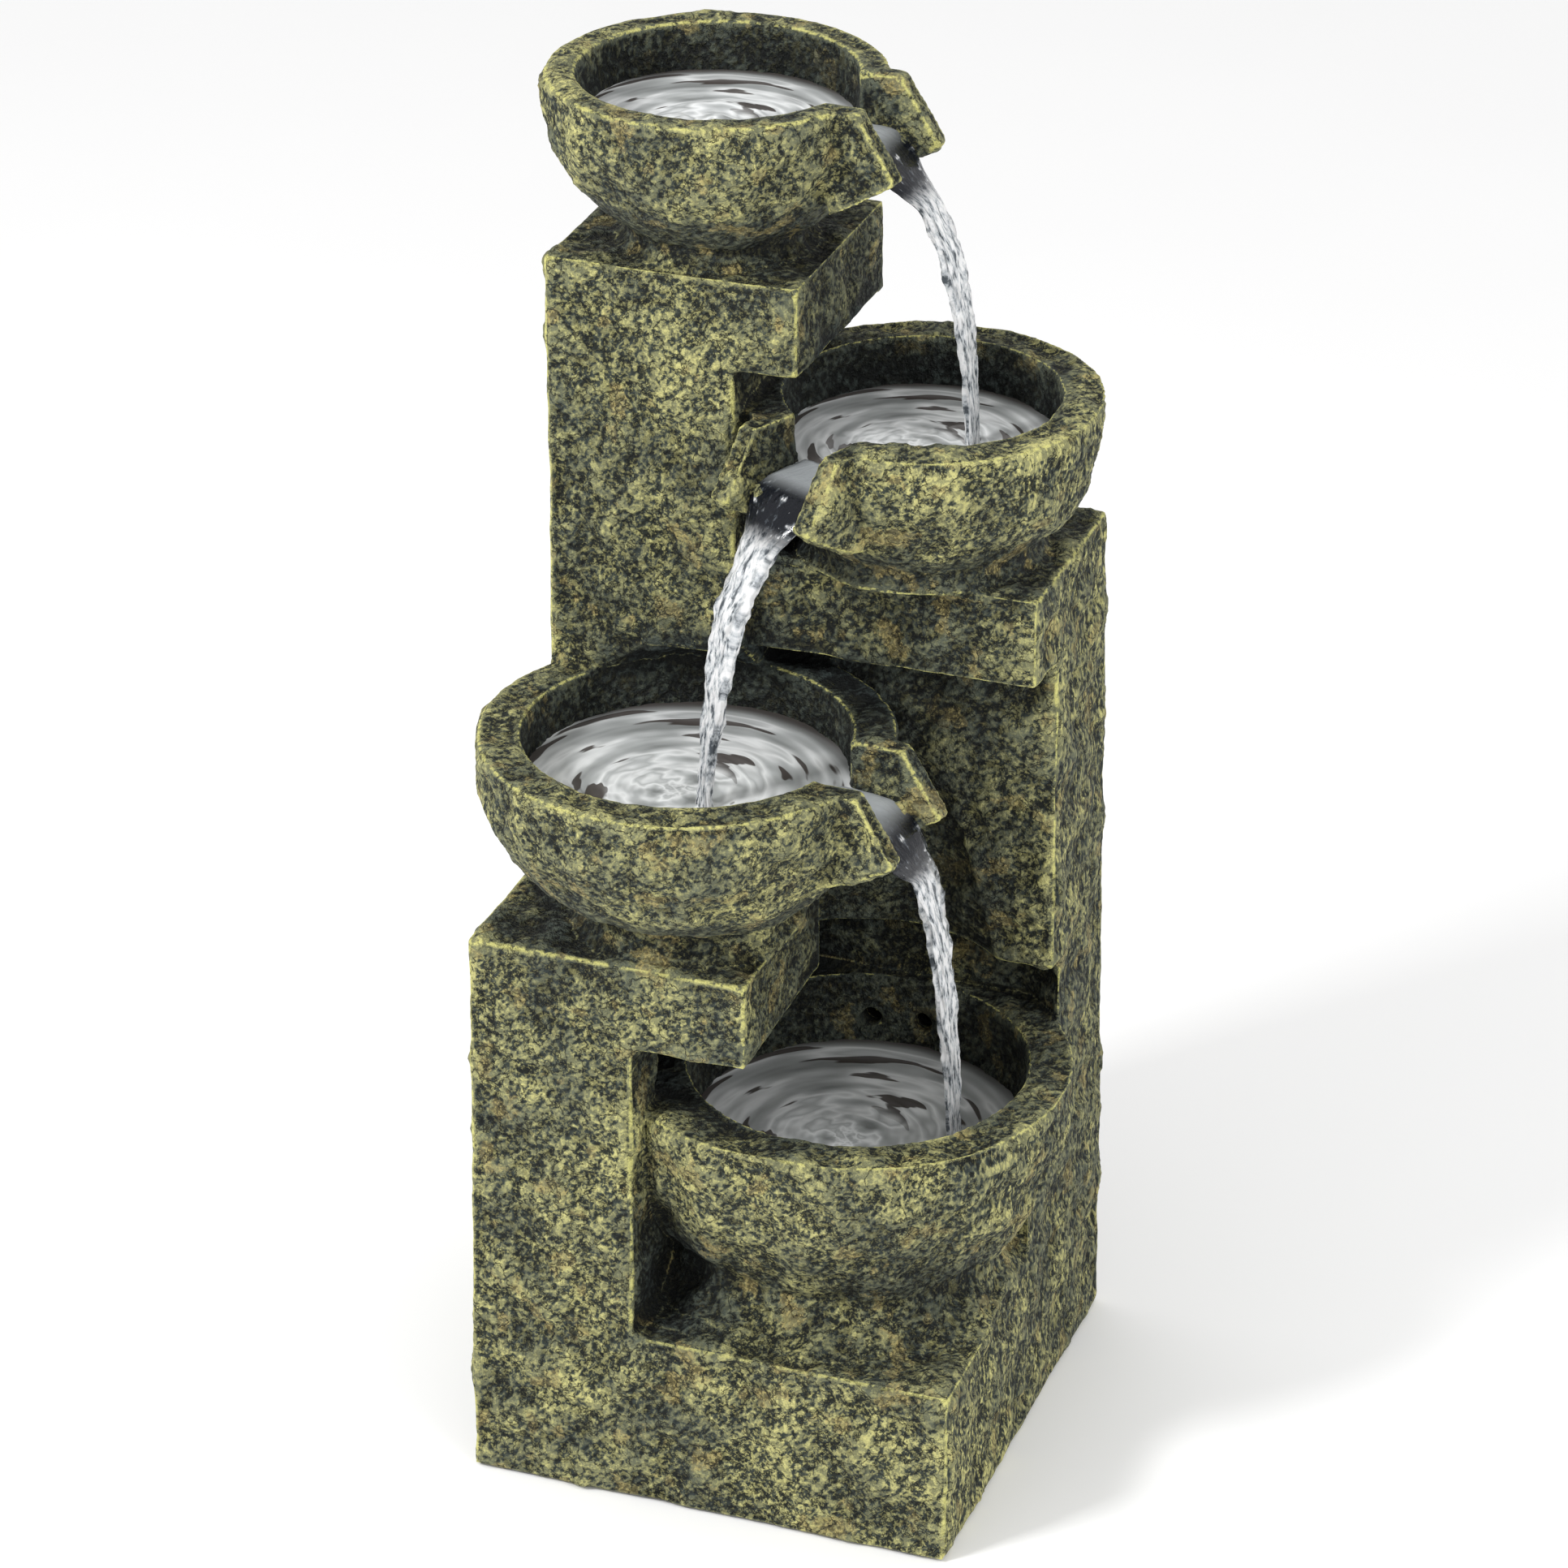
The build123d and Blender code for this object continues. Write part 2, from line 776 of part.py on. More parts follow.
core_x = motor_rear_x + plug_thickness + coil_wrap + end_play
with BuildPart() as stator_core:
    with BuildSketch(across(core_x)):
        with Locations((0, core_top)):
            Rectangle(
                2 * core_half,
                core_top + core_bar_top + core_bar,
                align=(Align.CENTER, Align.MAX),
            )
        Rectangle(
            2 * (well_radius + well_wall),
            core_bar_top,
            align=(Align.CENTER, Align.MAX),
            mode=Mode.SUBTRACT,
        )
        Circle(well_radius + well_wall + fit_gap, mode=Mode.SUBTRACT)
        Rectangle(pole_gap, core_top, align=(Align.CENTER, Align.MIN), mode=Mode.SUBTRACT)
    extrude(amount=core_thickness)
finish_part(stator_core.part, "stator_core")

with BuildPart() as coil:
    with BuildSketch(across(core_x - coil_wrap)):
        with Locations((0, -core_bar_top - core_bar / 2)):
            Rectangle(coil_length, core_bar + 2 * coil_wrap)
    extrude(amount=core_thickness + 2 * coil_wrap)
    with BuildSketch(across(core_x - fit_gap)):
        with Locations((0, -core_bar_top - core_bar / 2)):
            Rectangle(coil_length, core_bar + 2 * fit_gap)
    extrude(amount=core_thickness + 2 * fit_gap, mode=Mode.SUBTRACT)
finish_part(coil.part, "coil")

rotor_rear_x = well_end_x + bush_length + end_play
hub_front_x = motor_front_x + 1
with BuildPart() as rotor_magnet:
    ring(across(rotor_rear_x), magnet_radius, hub_radius + fit_gap, magnet_length)
finish_part(rotor_magnet.part, "rotor_magnet")

with BuildPart() as impeller:
    with BuildSketch(across(rotor_rear_x)):
        Circle(hub_radius)
    extrude(amount=hub_front_x - rotor_rear_x)
    with BuildSketch(across(hub_front_x)):
        Circle(impeller_radius)
    extrude(amount=impeller_disc)
    with BuildSketch(across(hub_front_x + impeller_disc)):
        with PolarLocations(hub_radius / 2, blade_count):
            Rectangle(blade_length, blade_thickness, align=(Align.MIN, Align.CENTER))
        Circle(hub_radius)
    extrude(amount=blade_height)
    with BuildSketch(across(rotor_rear_x)):
        Circle(shaft_radius + run_gap)
    extrude(amount=pump_length, mode=Mode.SUBTRACT)
finish_part(impeller.part, "impeller")

with BuildPart() as rotor_shaft:
    with BuildSketch(across(well_end_x + end_play)):
        Circle(shaft_radius)
    extrude(amount=volute_front_x - well_end_x - 3 * end_play)
finish_part(rotor_shaft.part, "rotor_shaft")

with BuildPart() as shaft_bush_rear:
    ring(across(well_end_x), rear_bush_radius, shaft_radius, bush_length)
finish_part(shaft_bush_rear.part, "shaft_bush_rear")

with BuildPart() as shaft_bush_front:
    ring(across(volute_front_x - volute_face), front_bush_radius, shaft_radius, bush_length)
finish_part(shaft_bush_front.part, "shaft_bush_front")

with BuildPart() as volute_cover:
    with BuildSketch(across(motor_front_x)):
        RectangleRounded(2 * volute_half, 2 * volute_half, pump_corner)
    extrude(amount=volute_length)
    with BuildSketch(upright(outlet_x, pump_y, axis_z + volute_radius)):
        Circle(nozzle_radius)
    extrude(amount=nozzle_top - axis_z - volute_radius)
    with BuildSketch(across(motor_front_x)):
        Circle(volute_radius)
    extrude(amount=volute_length - volute_face, mode=Mode.SUBTRACT)
    with BuildSketch(across(motor_front_x)):
        Circle(seal_radius + seal_width / 2 + fit_gap)
        Circle(seal_radius - seal_width / 2 - fit_gap, mode=Mode.SUBTRACT)
    extrude(amount=seal_thickness, mode=Mode.SUBTRACT)
    with BuildSketch(across(volute_front_x - volute_face)):
        Circle(eye_radius)
        with PolarLocations(eye_radius / 2, 3, 90):
            Rectangle(eye_radius + 1, spider_arm, mode=Mode.SUBTRACT)
        Circle(spider_hub, mode=Mode.SUBTRACT)
        Circle(front_bush_radius)
    extrude(amount=volute_face, mode=Mode.SUBTRACT)
    with BuildSketch(upright(outlet_x, pump_y, axis_z)):
        Circle(nozzle_bore)
    extrude(amount=nozzle_top - axis_z, mode=Mode.SUBTRACT)
finish_part(volute_cover.part, "volute_cover")

with BuildPart() as volute_o_ring:
    seal_inner = seal_radius - seal_width / 2
    ring(across(motor_front_x), seal_inner + seal_width, seal_inner, seal_thickness)
finish_part(volute_o_ring.part, "volute_o_ring")

with BuildPart() as outlet_adapter:
    socket = nozzle_radius + fit_gap
    socket_depth = nozzle_height - 2
    mouth = upright(outlet_x, pump_y, nozzle_top - socket_depth)
    ring(mouth, socket + shell, socket, socket_depth)
    ring(mouth.offset(socket_depth), socket + shell, barb_bore, barb_foot - nozzle_top)
    ring(upright(outlet_x, pump_y, barb_foot), hose_bore - fit_gap, barb_bore, barb_length)
finish_part(outlet_adapter.part, "outlet_adapter")

sleeve_half = volute_half + 2 * fit_gap
with BuildPart() as intake_cover:
    with BuildSketch(across(volute_front_x - intake_lap)):
        RectangleRounded(2 * (sleeve_half + shell), 2 * (sleeve_half + shell), pump_corner)
    extrude(amount=intake_lap + intake_length)
    with BuildSketch(across(volute_front_x - intake_lap)):
        RectangleRounded(2 * sleeve_half, 2 * sleeve_half, pump_corner)
    extrude(amount=intake_lap + intake_length - shell, mode=Mode.SUBTRACT)
    with BuildSketch(across(intake_front_x - shell)):
        with GridLocations(slot_pitch, 1, slot_count, 1):
            Rectangle(slot_width, slot_height)
        Circle(dial_pin + shell, mode=Mode.SUBTRACT)
        Circle(dial_pin + run_gap)
    extrude(amount=shell, mode=Mode.SUBTRACT)
finish_part(intake_cover.part, "intake_cover")

with BuildPart() as filter_sponge:
    with BuildSketch(across(intake_front_x - 2 * shell - sponge_thickness)):
        RectangleRounded(2 * sponge_half, 2 * sponge_half, pump_corner)
    extrude(amount=sponge_thickness)
finish_part(filter_sponge.part, "filter_sponge")

with BuildPart() as flow_dial:
    with BuildSketch(across(intake_front_x + 2 * fit_gap)):
        Circle(dial_radius)
        with Locations((0, dial_radius / 2)):
            Rectangle(dial_radius, dial_radius / 2, mode=Mode.SUBTRACT)
    extrude(amount=dial_thickness)
    with BuildSketch(across(intake_front_x - shell)):
        Circle(dial_pin)
    extrude(amount=shell + 2 * fit_gap)
    with BuildSketch(across(intake_front_x + 2 * fit_gap + dial_thickness)):
        with Locations((0, -dial_radius / 2)):
            Rectangle(shell, dial_radius / 2)
    extrude(amount=dial_grip)
finish_part(flow_dial.part, "flow_dial")

with BuildPart() as suction_cups:
    cup_inset = cup_radius + 1
    for x in (motor_rear_x + cup_inset, motor_front_x - cup_inset):
        for side in (-1, 1):
            y = pump_y + side * (pump_width / 2 - cup_inset)
            profile = Plane(origin=(x, y, sump_floor), x_dir=(1, 0, 0), z_dir=(0, -1, 0))
            with BuildSketch(profile) as cup:
                with BuildLine():
                    Polyline(
                        (0, cup_height),
                        (cup_stem, cup_height),
                        (cup_stem, cup_height * 0.7),
                        (cup_radius, 0),
                        (cup_radius - 1.2, 0),
                        (0, cup_height * 0.4),
                        close=True,
                    )
                make_face()
            revolve(cup.sketch, axis=Axis((x, y, 0), (0, 0, 1)))
finish_part(suction_cups.part, "suction_cups")
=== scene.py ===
"""Looks of a tabletop water fountain: cast stone, running water and the fitted parts.

Lengths are in metres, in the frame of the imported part: +Z up, front towards -Y.
"""

import logging
import math
from dataclasses import dataclass, field
from enum import Enum

import bmesh
import bpy
import numpy as np
from mathutils import Matrix, Vector
from mathutils.bvhtree import BVHTree
from mathutils.kdtree import KDTree


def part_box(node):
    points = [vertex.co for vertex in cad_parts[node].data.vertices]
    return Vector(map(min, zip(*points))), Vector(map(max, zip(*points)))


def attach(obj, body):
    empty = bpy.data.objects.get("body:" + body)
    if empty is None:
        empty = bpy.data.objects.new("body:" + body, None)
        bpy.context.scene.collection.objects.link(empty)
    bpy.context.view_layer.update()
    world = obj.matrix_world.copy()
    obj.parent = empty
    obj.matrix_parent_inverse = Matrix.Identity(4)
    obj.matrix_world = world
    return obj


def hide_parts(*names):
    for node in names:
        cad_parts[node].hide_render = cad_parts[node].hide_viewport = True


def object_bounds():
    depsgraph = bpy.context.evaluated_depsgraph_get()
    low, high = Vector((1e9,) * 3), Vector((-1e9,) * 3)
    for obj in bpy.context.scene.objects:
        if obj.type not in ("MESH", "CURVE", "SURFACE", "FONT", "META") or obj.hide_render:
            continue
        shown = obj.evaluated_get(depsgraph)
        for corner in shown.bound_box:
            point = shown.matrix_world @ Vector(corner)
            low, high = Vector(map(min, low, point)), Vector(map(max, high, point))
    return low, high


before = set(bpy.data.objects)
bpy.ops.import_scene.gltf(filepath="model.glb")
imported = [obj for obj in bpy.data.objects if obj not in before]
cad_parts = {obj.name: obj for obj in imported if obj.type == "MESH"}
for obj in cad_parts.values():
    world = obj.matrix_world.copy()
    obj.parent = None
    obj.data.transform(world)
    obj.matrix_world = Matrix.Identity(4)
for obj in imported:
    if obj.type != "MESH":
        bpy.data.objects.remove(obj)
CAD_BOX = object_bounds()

MM = 0.001

log = logging.getLogger("fountain")


# ---------------------------------------------------------------- small tools
def hex_colour(code: str) -> tuple[float, float, float, float]:
    """Turn a screen colour into the linear colour that a shader takes.

    Args:
        code: six hexadecimal digits, red first.

    Returns:
        Linear red, green, blue and a full alpha.
    """
    channels = [int(code[i : i + 2], 16) / 255 for i in (0, 2, 4)]
    linear = [c / 12.92 if c <= 0.04045 else ((c + 0.055) / 1.055) ** 2.4 for c in channels]
    return (*linear, 1.0)


def ease(low: float, high: float, values: np.ndarray) -> np.ndarray:
    """Rise smoothly from 0 at low to 1 at high."""
    share = np.clip((values - low) / (high - low), 0, 1)
    return share * share * (3 - 2 * share)


def coordinates(mesh: bpy.types.Mesh) -> np.ndarray:
    """Read a mesh's vertex positions as one array of rows."""
    flat = np.zeros(len(mesh.vertices) * 3, np.float32)
    mesh.vertices.foreach_get("co", flat)
    return flat.reshape(-1, 3).astype(float)


def normals(mesh: bpy.types.Mesh) -> np.ndarray:
    """Read a mesh's vertex normals as one array of rows."""
    flat = np.zeros(len(mesh.vertices) * 3, np.float32)
    mesh.vertex_normals.foreach_get("vector", flat)
    return flat.reshape(-1, 3).astype(float)


def store(mesh: bpy.types.Mesh, name: str, values: np.ndarray) -> None:
    """Keep one number for each vertex under a name that a material can read."""
    layer = mesh.attributes.new(name, "FLOAT", "POINT")
    layer.data.foreach_set("value", values.astype(np.float32))


def relaxed(points: np.ndarray, edges: np.ndarray, rounds: int) -> np.ndarray:
    """Move each point towards the mean of its neighbours.

    Args:
        points: one row for each vertex.
        edges: one pair of vertex numbers for each edge.
        rounds: how many times to repeat it.

    Returns:
        The relaxed rows.
    """
    count = np.bincount(edges.ravel(), minlength=len(points))[:, None]
    out = points.copy()
    for _ in range(rounds):
        total = np.empty_like(out)
        for k in range(out.shape[1]):
            total[:, k] = np.bincount(edges[:, 0], out[edges[:, 1], k], len(points))
            total[:, k] += np.bincount(edges[:, 1], out[edges[:, 0], k], len(points))
        out = (out + total / np.maximum(count, 1)) / 2
    return out


@dataclass(frozen=True)
class SolidNoise:
    """Smooth seeded noise through space, about 0.5 on average."""

    seed: int
    cells: int = 48

    def value(self, points: np.ndarray, size: float) -> np.ndarray:
        """Sample one layer of noise.

        Args:
            points: rows of x, y and z.
            size: width of one lump, in the points' unit.

        Returns:
            One value for each row, from 0 to 1.
        """
        chance = np.random.default_rng(self.seed)
        slopes = chance.normal(size=(self.cells,) * 3 + (3,))
        slopes /= np.linalg.norm(slopes, axis=-1, keepdims=True)
        turned = points @ np.linalg.qr(chance.normal(size=(3, 3)))[0]
        place = turned / size + 0.5
        cell = np.floor(place).astype(int)
        part = place - cell
        fade = part**3 * (part * (part * 6 - 15) + 10)
        total = np.zeros(len(points))
        for corner in np.ndindex(2, 2, 2):
            at = (cell + corner) % self.cells
            weight = np.prod(np.where(corner, fade, 1 - fade), axis=1)
            slope = slopes[at[:, 0], at[:, 1], at[:, 2]]
            total += weight * np.einsum("ij,ij->i", slope, part - corner)
        return np.clip(0.5 + 0.8 * total, 0, 1)

    def layered(self, points: np.ndarray, size: float, layers: int) -> np.ndarray:
        """Add finer layers of noise, each half as wide and half as strong.

        Args:
            points: rows of x, y and z.
            size: width of the widest lump.
            layers: how many layers.

        Returns:
            One value from 0 to 1 for each row.
        """
        shares = [0.5**k for k in range(layers)]
        total = sum(
            share * self.value(points + 0.37 * k, size * share)
            for k, share in enumerate(shares)
        )
        return total / sum(shares)


class Tree:
    """A material's node tree, with short calls to add and join nodes."""

    def __init__(self, name: str) -> None:
        """Start a material with an empty Principled shader."""
        self.material = bpy.data.materials.new(name)
        self.material.use_nodes = True
        self.nodes = self.material.node_tree.nodes
        self.links = self.material.node_tree.links
        self.shader = self.nodes["Principled BSDF"]
        self.place = self.add("ShaderNodeTexCoord").outputs["Object"]

    def add(self, kind: str, **settings: object) -> bpy.types.Node:
        """Add a node and set its plain properties."""
        node = self.nodes.new(kind)
        for key, value in settings.items():
            setattr(node, key, value)
        return node

    def feed(self, socket: bpy.types.NodeSocket, source: object) -> None:
        """Set a socket to a number or colour, or join another socket to it."""
        if isinstance(source, bpy.types.NodeSocket):
            self.links.new(source, socket)
        else:
            socket.default_value = source

    def noise(
        self, scale: float, detail: float = 3.0, rough: float = 0.55, place: object = None
    ) -> bpy.types.NodeSocket:
        """Add a noise texture.

        Args:
            scale: lumps for each metre.
            detail: how many finer layers.
            rough: strength of the finer layers.
            place: coordinates, or None for the piece's own.

        Returns:
            The texture's value.
        """
        node = self.add("ShaderNodeTexNoise")
        self.feed(node.inputs["Vector"], place or self.place)
        node.inputs["Scale"].default_value = scale
        node.inputs["Detail"].default_value = detail
        node.inputs["Roughness"].default_value = rough
        return node.outputs["Fac"]

    def cells(self, scale: float, place: object = None) -> bpy.types.NodeSocket:
        """Add rounded cells and return the distance from their middles."""
        node = self.add("ShaderNodeTexVoronoi", feature="SMOOTH_F1")
        self.feed(node.inputs["Vector"], place or self.place)
        node.inputs["Scale"].default_value = scale
        return node.outputs["Distance"]

    def stretched(self, x: float, y: float, z: float) -> bpy.types.NodeSocket:
        """Scale the piece's own coordinates along each axis."""
        node = self.add("ShaderNodeMapping")
        self.feed(node.inputs["Vector"], self.place)
        node.inputs["Scale"].default_value = (x, y, z)
        return node.outputs["Vector"]

    def math(self, operation: str, a: object, b: object = 0.0) -> bpy.types.NodeSocket:
        """Combine two values."""
        node = self.add("ShaderNodeMath", operation=operation)
        self.feed(node.inputs[0], a)
        self.feed(node.inputs[1], b)
        return node.outputs[0]

    def weighed(self, base: float, *terms: tuple[object, float]) -> bpy.types.NodeSocket:
        """Add values that each have a weight.

        Args:
            base: the sum's starting value.
            terms: pairs of a value and its weight.

        Returns:
            The weighted sum.
        """
        total: object = base
        for value, weight in terms:
            node = self.add("ShaderNodeMath", operation="MULTIPLY_ADD")
            self.feed(node.inputs[0], value)
            self.feed(node.inputs[1], weight)
            self.feed(node.inputs[2], total)
            total = node.outputs[0]
        return total

    def span(
        self, value: object, low: float, high: float, top: float = 1.0
    ) -> bpy.types.NodeSocket:
        """Map a value smoothly from low..high to 0..top."""
        node = self.add("ShaderNodeMapRange", interpolation_type="SMOOTHSTEP")
        self.feed(node.inputs["Value"], value)
        node.inputs["From Min"].default_value = low
        node.inputs["From Max"].default_value = high
        node.inputs["To Max"].default_value = top
        return node.outputs["Result"]

    def ramp(self, value: object, stops: dict[float, str]) -> bpy.types.NodeSocket:
        """Colour a value.

        Args:
            value: what is coloured.
            stops: the colour at each value.

        Returns:
            The colour.
        """
        node = self.add("ShaderNodeValToRGB")
        self.feed(node.inputs["Fac"], value)
        bands = node.color_ramp.elements
        while len(bands) < len(stops):
            bands.new(0.5)
        for band, (at, code) in zip(bands, sorted(stops.items())):
            band.position = at
            band.color = hex_colour(code)
        return node.outputs["Color"]

    def mix(self, share: object, a: object, b: object) -> bpy.types.NodeSocket:
        """Mix two colours by a share of the second."""
        node = self.add("ShaderNodeMix", data_type="RGBA")
        self.feed(node.inputs["Factor"], share)
        self.feed(node.inputs[6], a)
        self.feed(node.inputs[7], b)
        return node.outputs[2]

    def mix_value(self, share: object, a: object, b: object) -> bpy.types.NodeSocket:
        """Mix two values by a share of the second."""
        node = self.add("ShaderNodeMix", data_type="FLOAT")
        self.feed(node.inputs["Factor"], share)
        self.feed(node.inputs[2], a)
        self.feed(node.inputs[3], b)
        return node.outputs[0]

    def off_middle(self, value: object, middle: float = 0.5) -> bpy.types.NodeSocket:
        """Measure how far a value is from a middle one."""
        return self.math("ABSOLUTE", self.math("SUBTRACT", value, middle))

    def clamped(self, value: object) -> bpy.types.NodeSocket:
        """Keep a value from 0 to 1."""
        node = self.add("ShaderNodeClamp")
        self.feed(node.inputs["Value"], value)
        return node.outputs[0]

    def read(self, name: str) -> bpy.types.NodeSocket:
        """Read a number that is kept with the mesh."""
        return self.add("ShaderNodeAttribute", attribute_name=name).outputs["Fac"]

    def bump(self, height: object, depth: float, strength: float = 1.0) -> None:
        """Raise the surface by a height times a depth in metres."""
        node = self.add("ShaderNodeBump")
        self.feed(node.inputs["Height"], height)
        node.inputs["Distance"].default_value = depth
        node.inputs["Strength"].default_value = strength
        self.feed(self.shader.inputs["Normal"], node.outputs["Normal"])

    def set(self, **values: object) -> None:
        """Set the shader's sockets, named with underscores for spaces."""
        for key, value in values.items():
            self.feed(self.shader.inputs[key.replace("_", " ")], value)


# ---------------------------------------------------------------- finishes
@dataclass(frozen=True)
class CastStone:
    """Slate-dark cast stone, dry-brushed with pale yellow-green on what stands out."""

    charcoal: str = "111514"
    slate: str = "4a5553"
    moss: str = "4b513f"
    lime: str = "d0cb86"
    sand: str = "b5a56a"
    pale: str = "d9d584"

    def material(self) -> bpy.types.Material:
        """Build the stone from the relief kept with the mesh and fine grain, with painted shade in
        its corners and recesses.
        """
        t = Tree("cast_stone")
        side, ridge, edge = t.read("side"), t.read("ridge"), t.read("edge")
        # How hidden each point is from open air: used below as painted shade in corners and
        # recesses, and partly as the darker, unbrushed paint there.
        recess_shade_and_wash, wet = t.read("recess_shade_and_wash"), t.read("wet")
        bark = t.stretched(1, 1, 0.34)
        coarse = t.mix_value(side, t.noise(330, 4, 0.6), t.noise(380, 4, 0.6, bark))
        fine = t.mix_value(side, t.noise(720, 3, 0.6), t.noise(760, 3, 0.6, bark))
        lumps = t.span(coarse, 0.50, 0.59)
        grit = t.span(fine, 0.51, 0.60)
        cloud = t.noise(13, 3)
        patch = t.noise(55, 5, 0.68)
        # Dry-brush cover thins in recesses: partly less paint there, partly painted shade.
        cover = t.span(
            t.weighed(0.0, (patch, 0.62), (cloud, 0.38), (recess_shade_and_wash, -0.26), (wet, -0.12)), 0.34, 0.72
        )
        # The ground grey darkens in recesses: painted shade.
        grey = t.weighed(
            -0.30, (coarse, 1.1), (t.noise(95, 5, 0.65), 0.4), (ridge, 0.30), (recess_shade_and_wash, -0.55)
        )
        ground = t.mix(grey, hex_colour(self.charcoal), hex_colour(self.slate))
        ground = t.mix(t.math("MULTIPLY", cover, 0.35), ground, hex_colour(self.moss))
        plate = t.noise(62, 4, 0.55)
        bare = t.math("MULTIPLY", t.span(plate, 0.585, 0.625), t.span(recess_shade_and_wash, 0.6, 0.25, 0.7))
        cracks = t.span(t.off_middle(t.noise(80, 5, 0.6)), 0.018, 0.003, 0.8)
        brushed = t.weighed(0.0, (lumps, 0.62), (grit, 0.50), (t.span(ridge, 0.1, 1.0), 0.50))
        # Less dry-brushed lime in recesses: partly less paint, partly painted shade.
        brushed = t.math("MULTIPLY", brushed, t.weighed(0.20, (cover, 0.85), (recess_shade_and_wash, -0.30)))
        colour = t.mix(t.clamped(brushed), ground, hex_colour(self.lime))
        sanded = t.math("MULTIPLY", bare, t.weighed(0.35, (grit, 0.65)))
        colour = t.mix(sanded, colour, hex_colour(self.sand))
        colour = t.mix(cracks, colour, hex_colour(self.charcoal))
        rubbed = t.math("MULTIPLY", t.span(edge, 0.55, 1.0), t.span(coarse, 0.42, 0.54, 0.9))
        colour = t.mix(rubbed, colour, hex_colour(self.pale))
        t.set(Base_Color=colour, Specular_IOR_Level=0.3)
        t.set(Roughness=t.weighed(0.80, (wet, -0.25), (grit, -0.12)))
        height = t.weighed(0.0, (coarse, 1.5), (fine, 0.8), (cracks, -0.35))
        t.bump(height, 2.4 * MM, 1.0)
        return t.material


@dataclass(frozen=True)
class StillWater:
    """The pools: a painted reflection of pale sky on rippled water, with painted glints and painted
    dark reflections of the walls.
    """

    # All four colours are painted light: grey, pale and the glints paint the sky's reflection, and
    # deep paints the dark reflection of the walls.
    deep: str = "3d3430"
    grey: str = "8f9291"
    pale: str = "bbbebe"
    painted_glint: str = "eef0f0"

    def material(self) -> bpy.types.Material:
        """Build the pool from swirls that run round it."""
        t = Tree("still_water")
        join = t.add("ShaderNodeCombineXYZ")
        t.feed(join.inputs[0], t.read("reach"))
        t.feed(join.inputs[1], t.read("east"))
        t.feed(join.inputs[2], t.read("north"))
        swirl = t.noise(1.9, 2, 0.45, join.outputs[0])
        curl = t.noise(2.7, 2, 0.4, join.outputs[0])
        ring = t.read("ring")
        shore = t.read("shore")
        # Tone darkens towards the rim: part of the painted reflection of the walls.
        tone = t.weighed(0.0, (swirl, 1.0), (ring, 0.05), (shore, -0.2))
        colour = t.ramp(tone, {
            0.30: self.grey, 0.44: self.pale, 0.54: self.painted_glint, 0.62: self.pale, 0.74: self.painted_glint,
        })
        # Dark arcs away from the middle: a painted reflection of the walls.
        dark_reflection_arcs = t.math("MULTIPLY", t.span(curl, 0.60, 0.63), t.span(t.read("reach"), 1.0, 1.5, 0.9))
        # The dark rim band, mostly at the back, joins the arcs; both are painted reflection of the
        # walls in the deep colour.
        dark = t.math("MAXIMUM", dark_reflection_arcs, t.span(shore, 0.35, 0.95, 0.85))
        colour = t.mix(dark, colour, hex_colour(self.deep))
        t.set(Base_Color=colour, Roughness=0.08, Specular_IOR_Level=0.5, IOR=1.33)
        t.bump(swirl, 1.5 * MM, 0.35)
        return t.material


@dataclass(frozen=True)
class RunningWater:
    """Water over a spout: a film painted bright as a reflection, a chute painted dark as a
    reflection, then clear streaks with painted glints and painted dark streaks.
    """

    # All five colours are painted light: film, body and glints paint reflections of the bright
    # surroundings; chute and the dark streaks paint dark reflections.
    film: str = "c3c8cb"
    chute: str = "171a22"
    painted_dark_streak: str = "555b61"
    body: str = "c7ccd0"
    painted_glint: str = "ffffff"

    def material(self) -> bpy.types.Material:
        """Build the stream from how far along and across it each point is."""
        t = Tree("running_water")
        along = t.read("along")
        join = t.add("ShaderNodeCombineXYZ")
        t.feed(join.inputs[0], t.read("across"))
        t.feed(join.inputs[1], t.math("MULTIPLY", along, 3.2))
        flow = join.outputs[0]
        strand = t.noise(5.5, 4, 0.62, flow)
        fine = t.noise(13.0, 3, 0.6, flow)
        tone = t.weighed(-0.05, (strand, 0.75), (fine, 0.35))
        # Streaks: painted glints and painted dark reflection streaks along the flow.
        streak = t.ramp(tone, {0.40: self.painted_dark_streak, 0.47: self.body, 0.55: self.painted_glint})
        dark = t.ramp(tone, {0.54: self.chute, 0.60: self.painted_dark_streak, 0.66: self.painted_glint})
        # Bright painted film at the start, then the dark chute with its painted glints.
        colour = t.mix(t.span(along, 0.10, 0.17), hex_colour(self.film), dark)
        colour = t.mix(t.span(along, 0.25, 0.33), colour, streak)
        t.set(Base_Color=colour, Roughness=0.06, Specular_IOR_Level=0.5)
        t.set(IOR=1.33, Transmission_Weight=0.35)
        t.bump(tone, 1.2 * MM, 0.6)
        return t.material


class Grain(Enum):
    """What gives a fitted part's surface its texture."""

    MOULDED = "moulded"
    RUBBER = "rubber"
    PORES = "pores"
    LAMINATED = "laminated"
    WOUND = "wound"
    BRUSHED = "brushed"
    CLEAR = "clear"


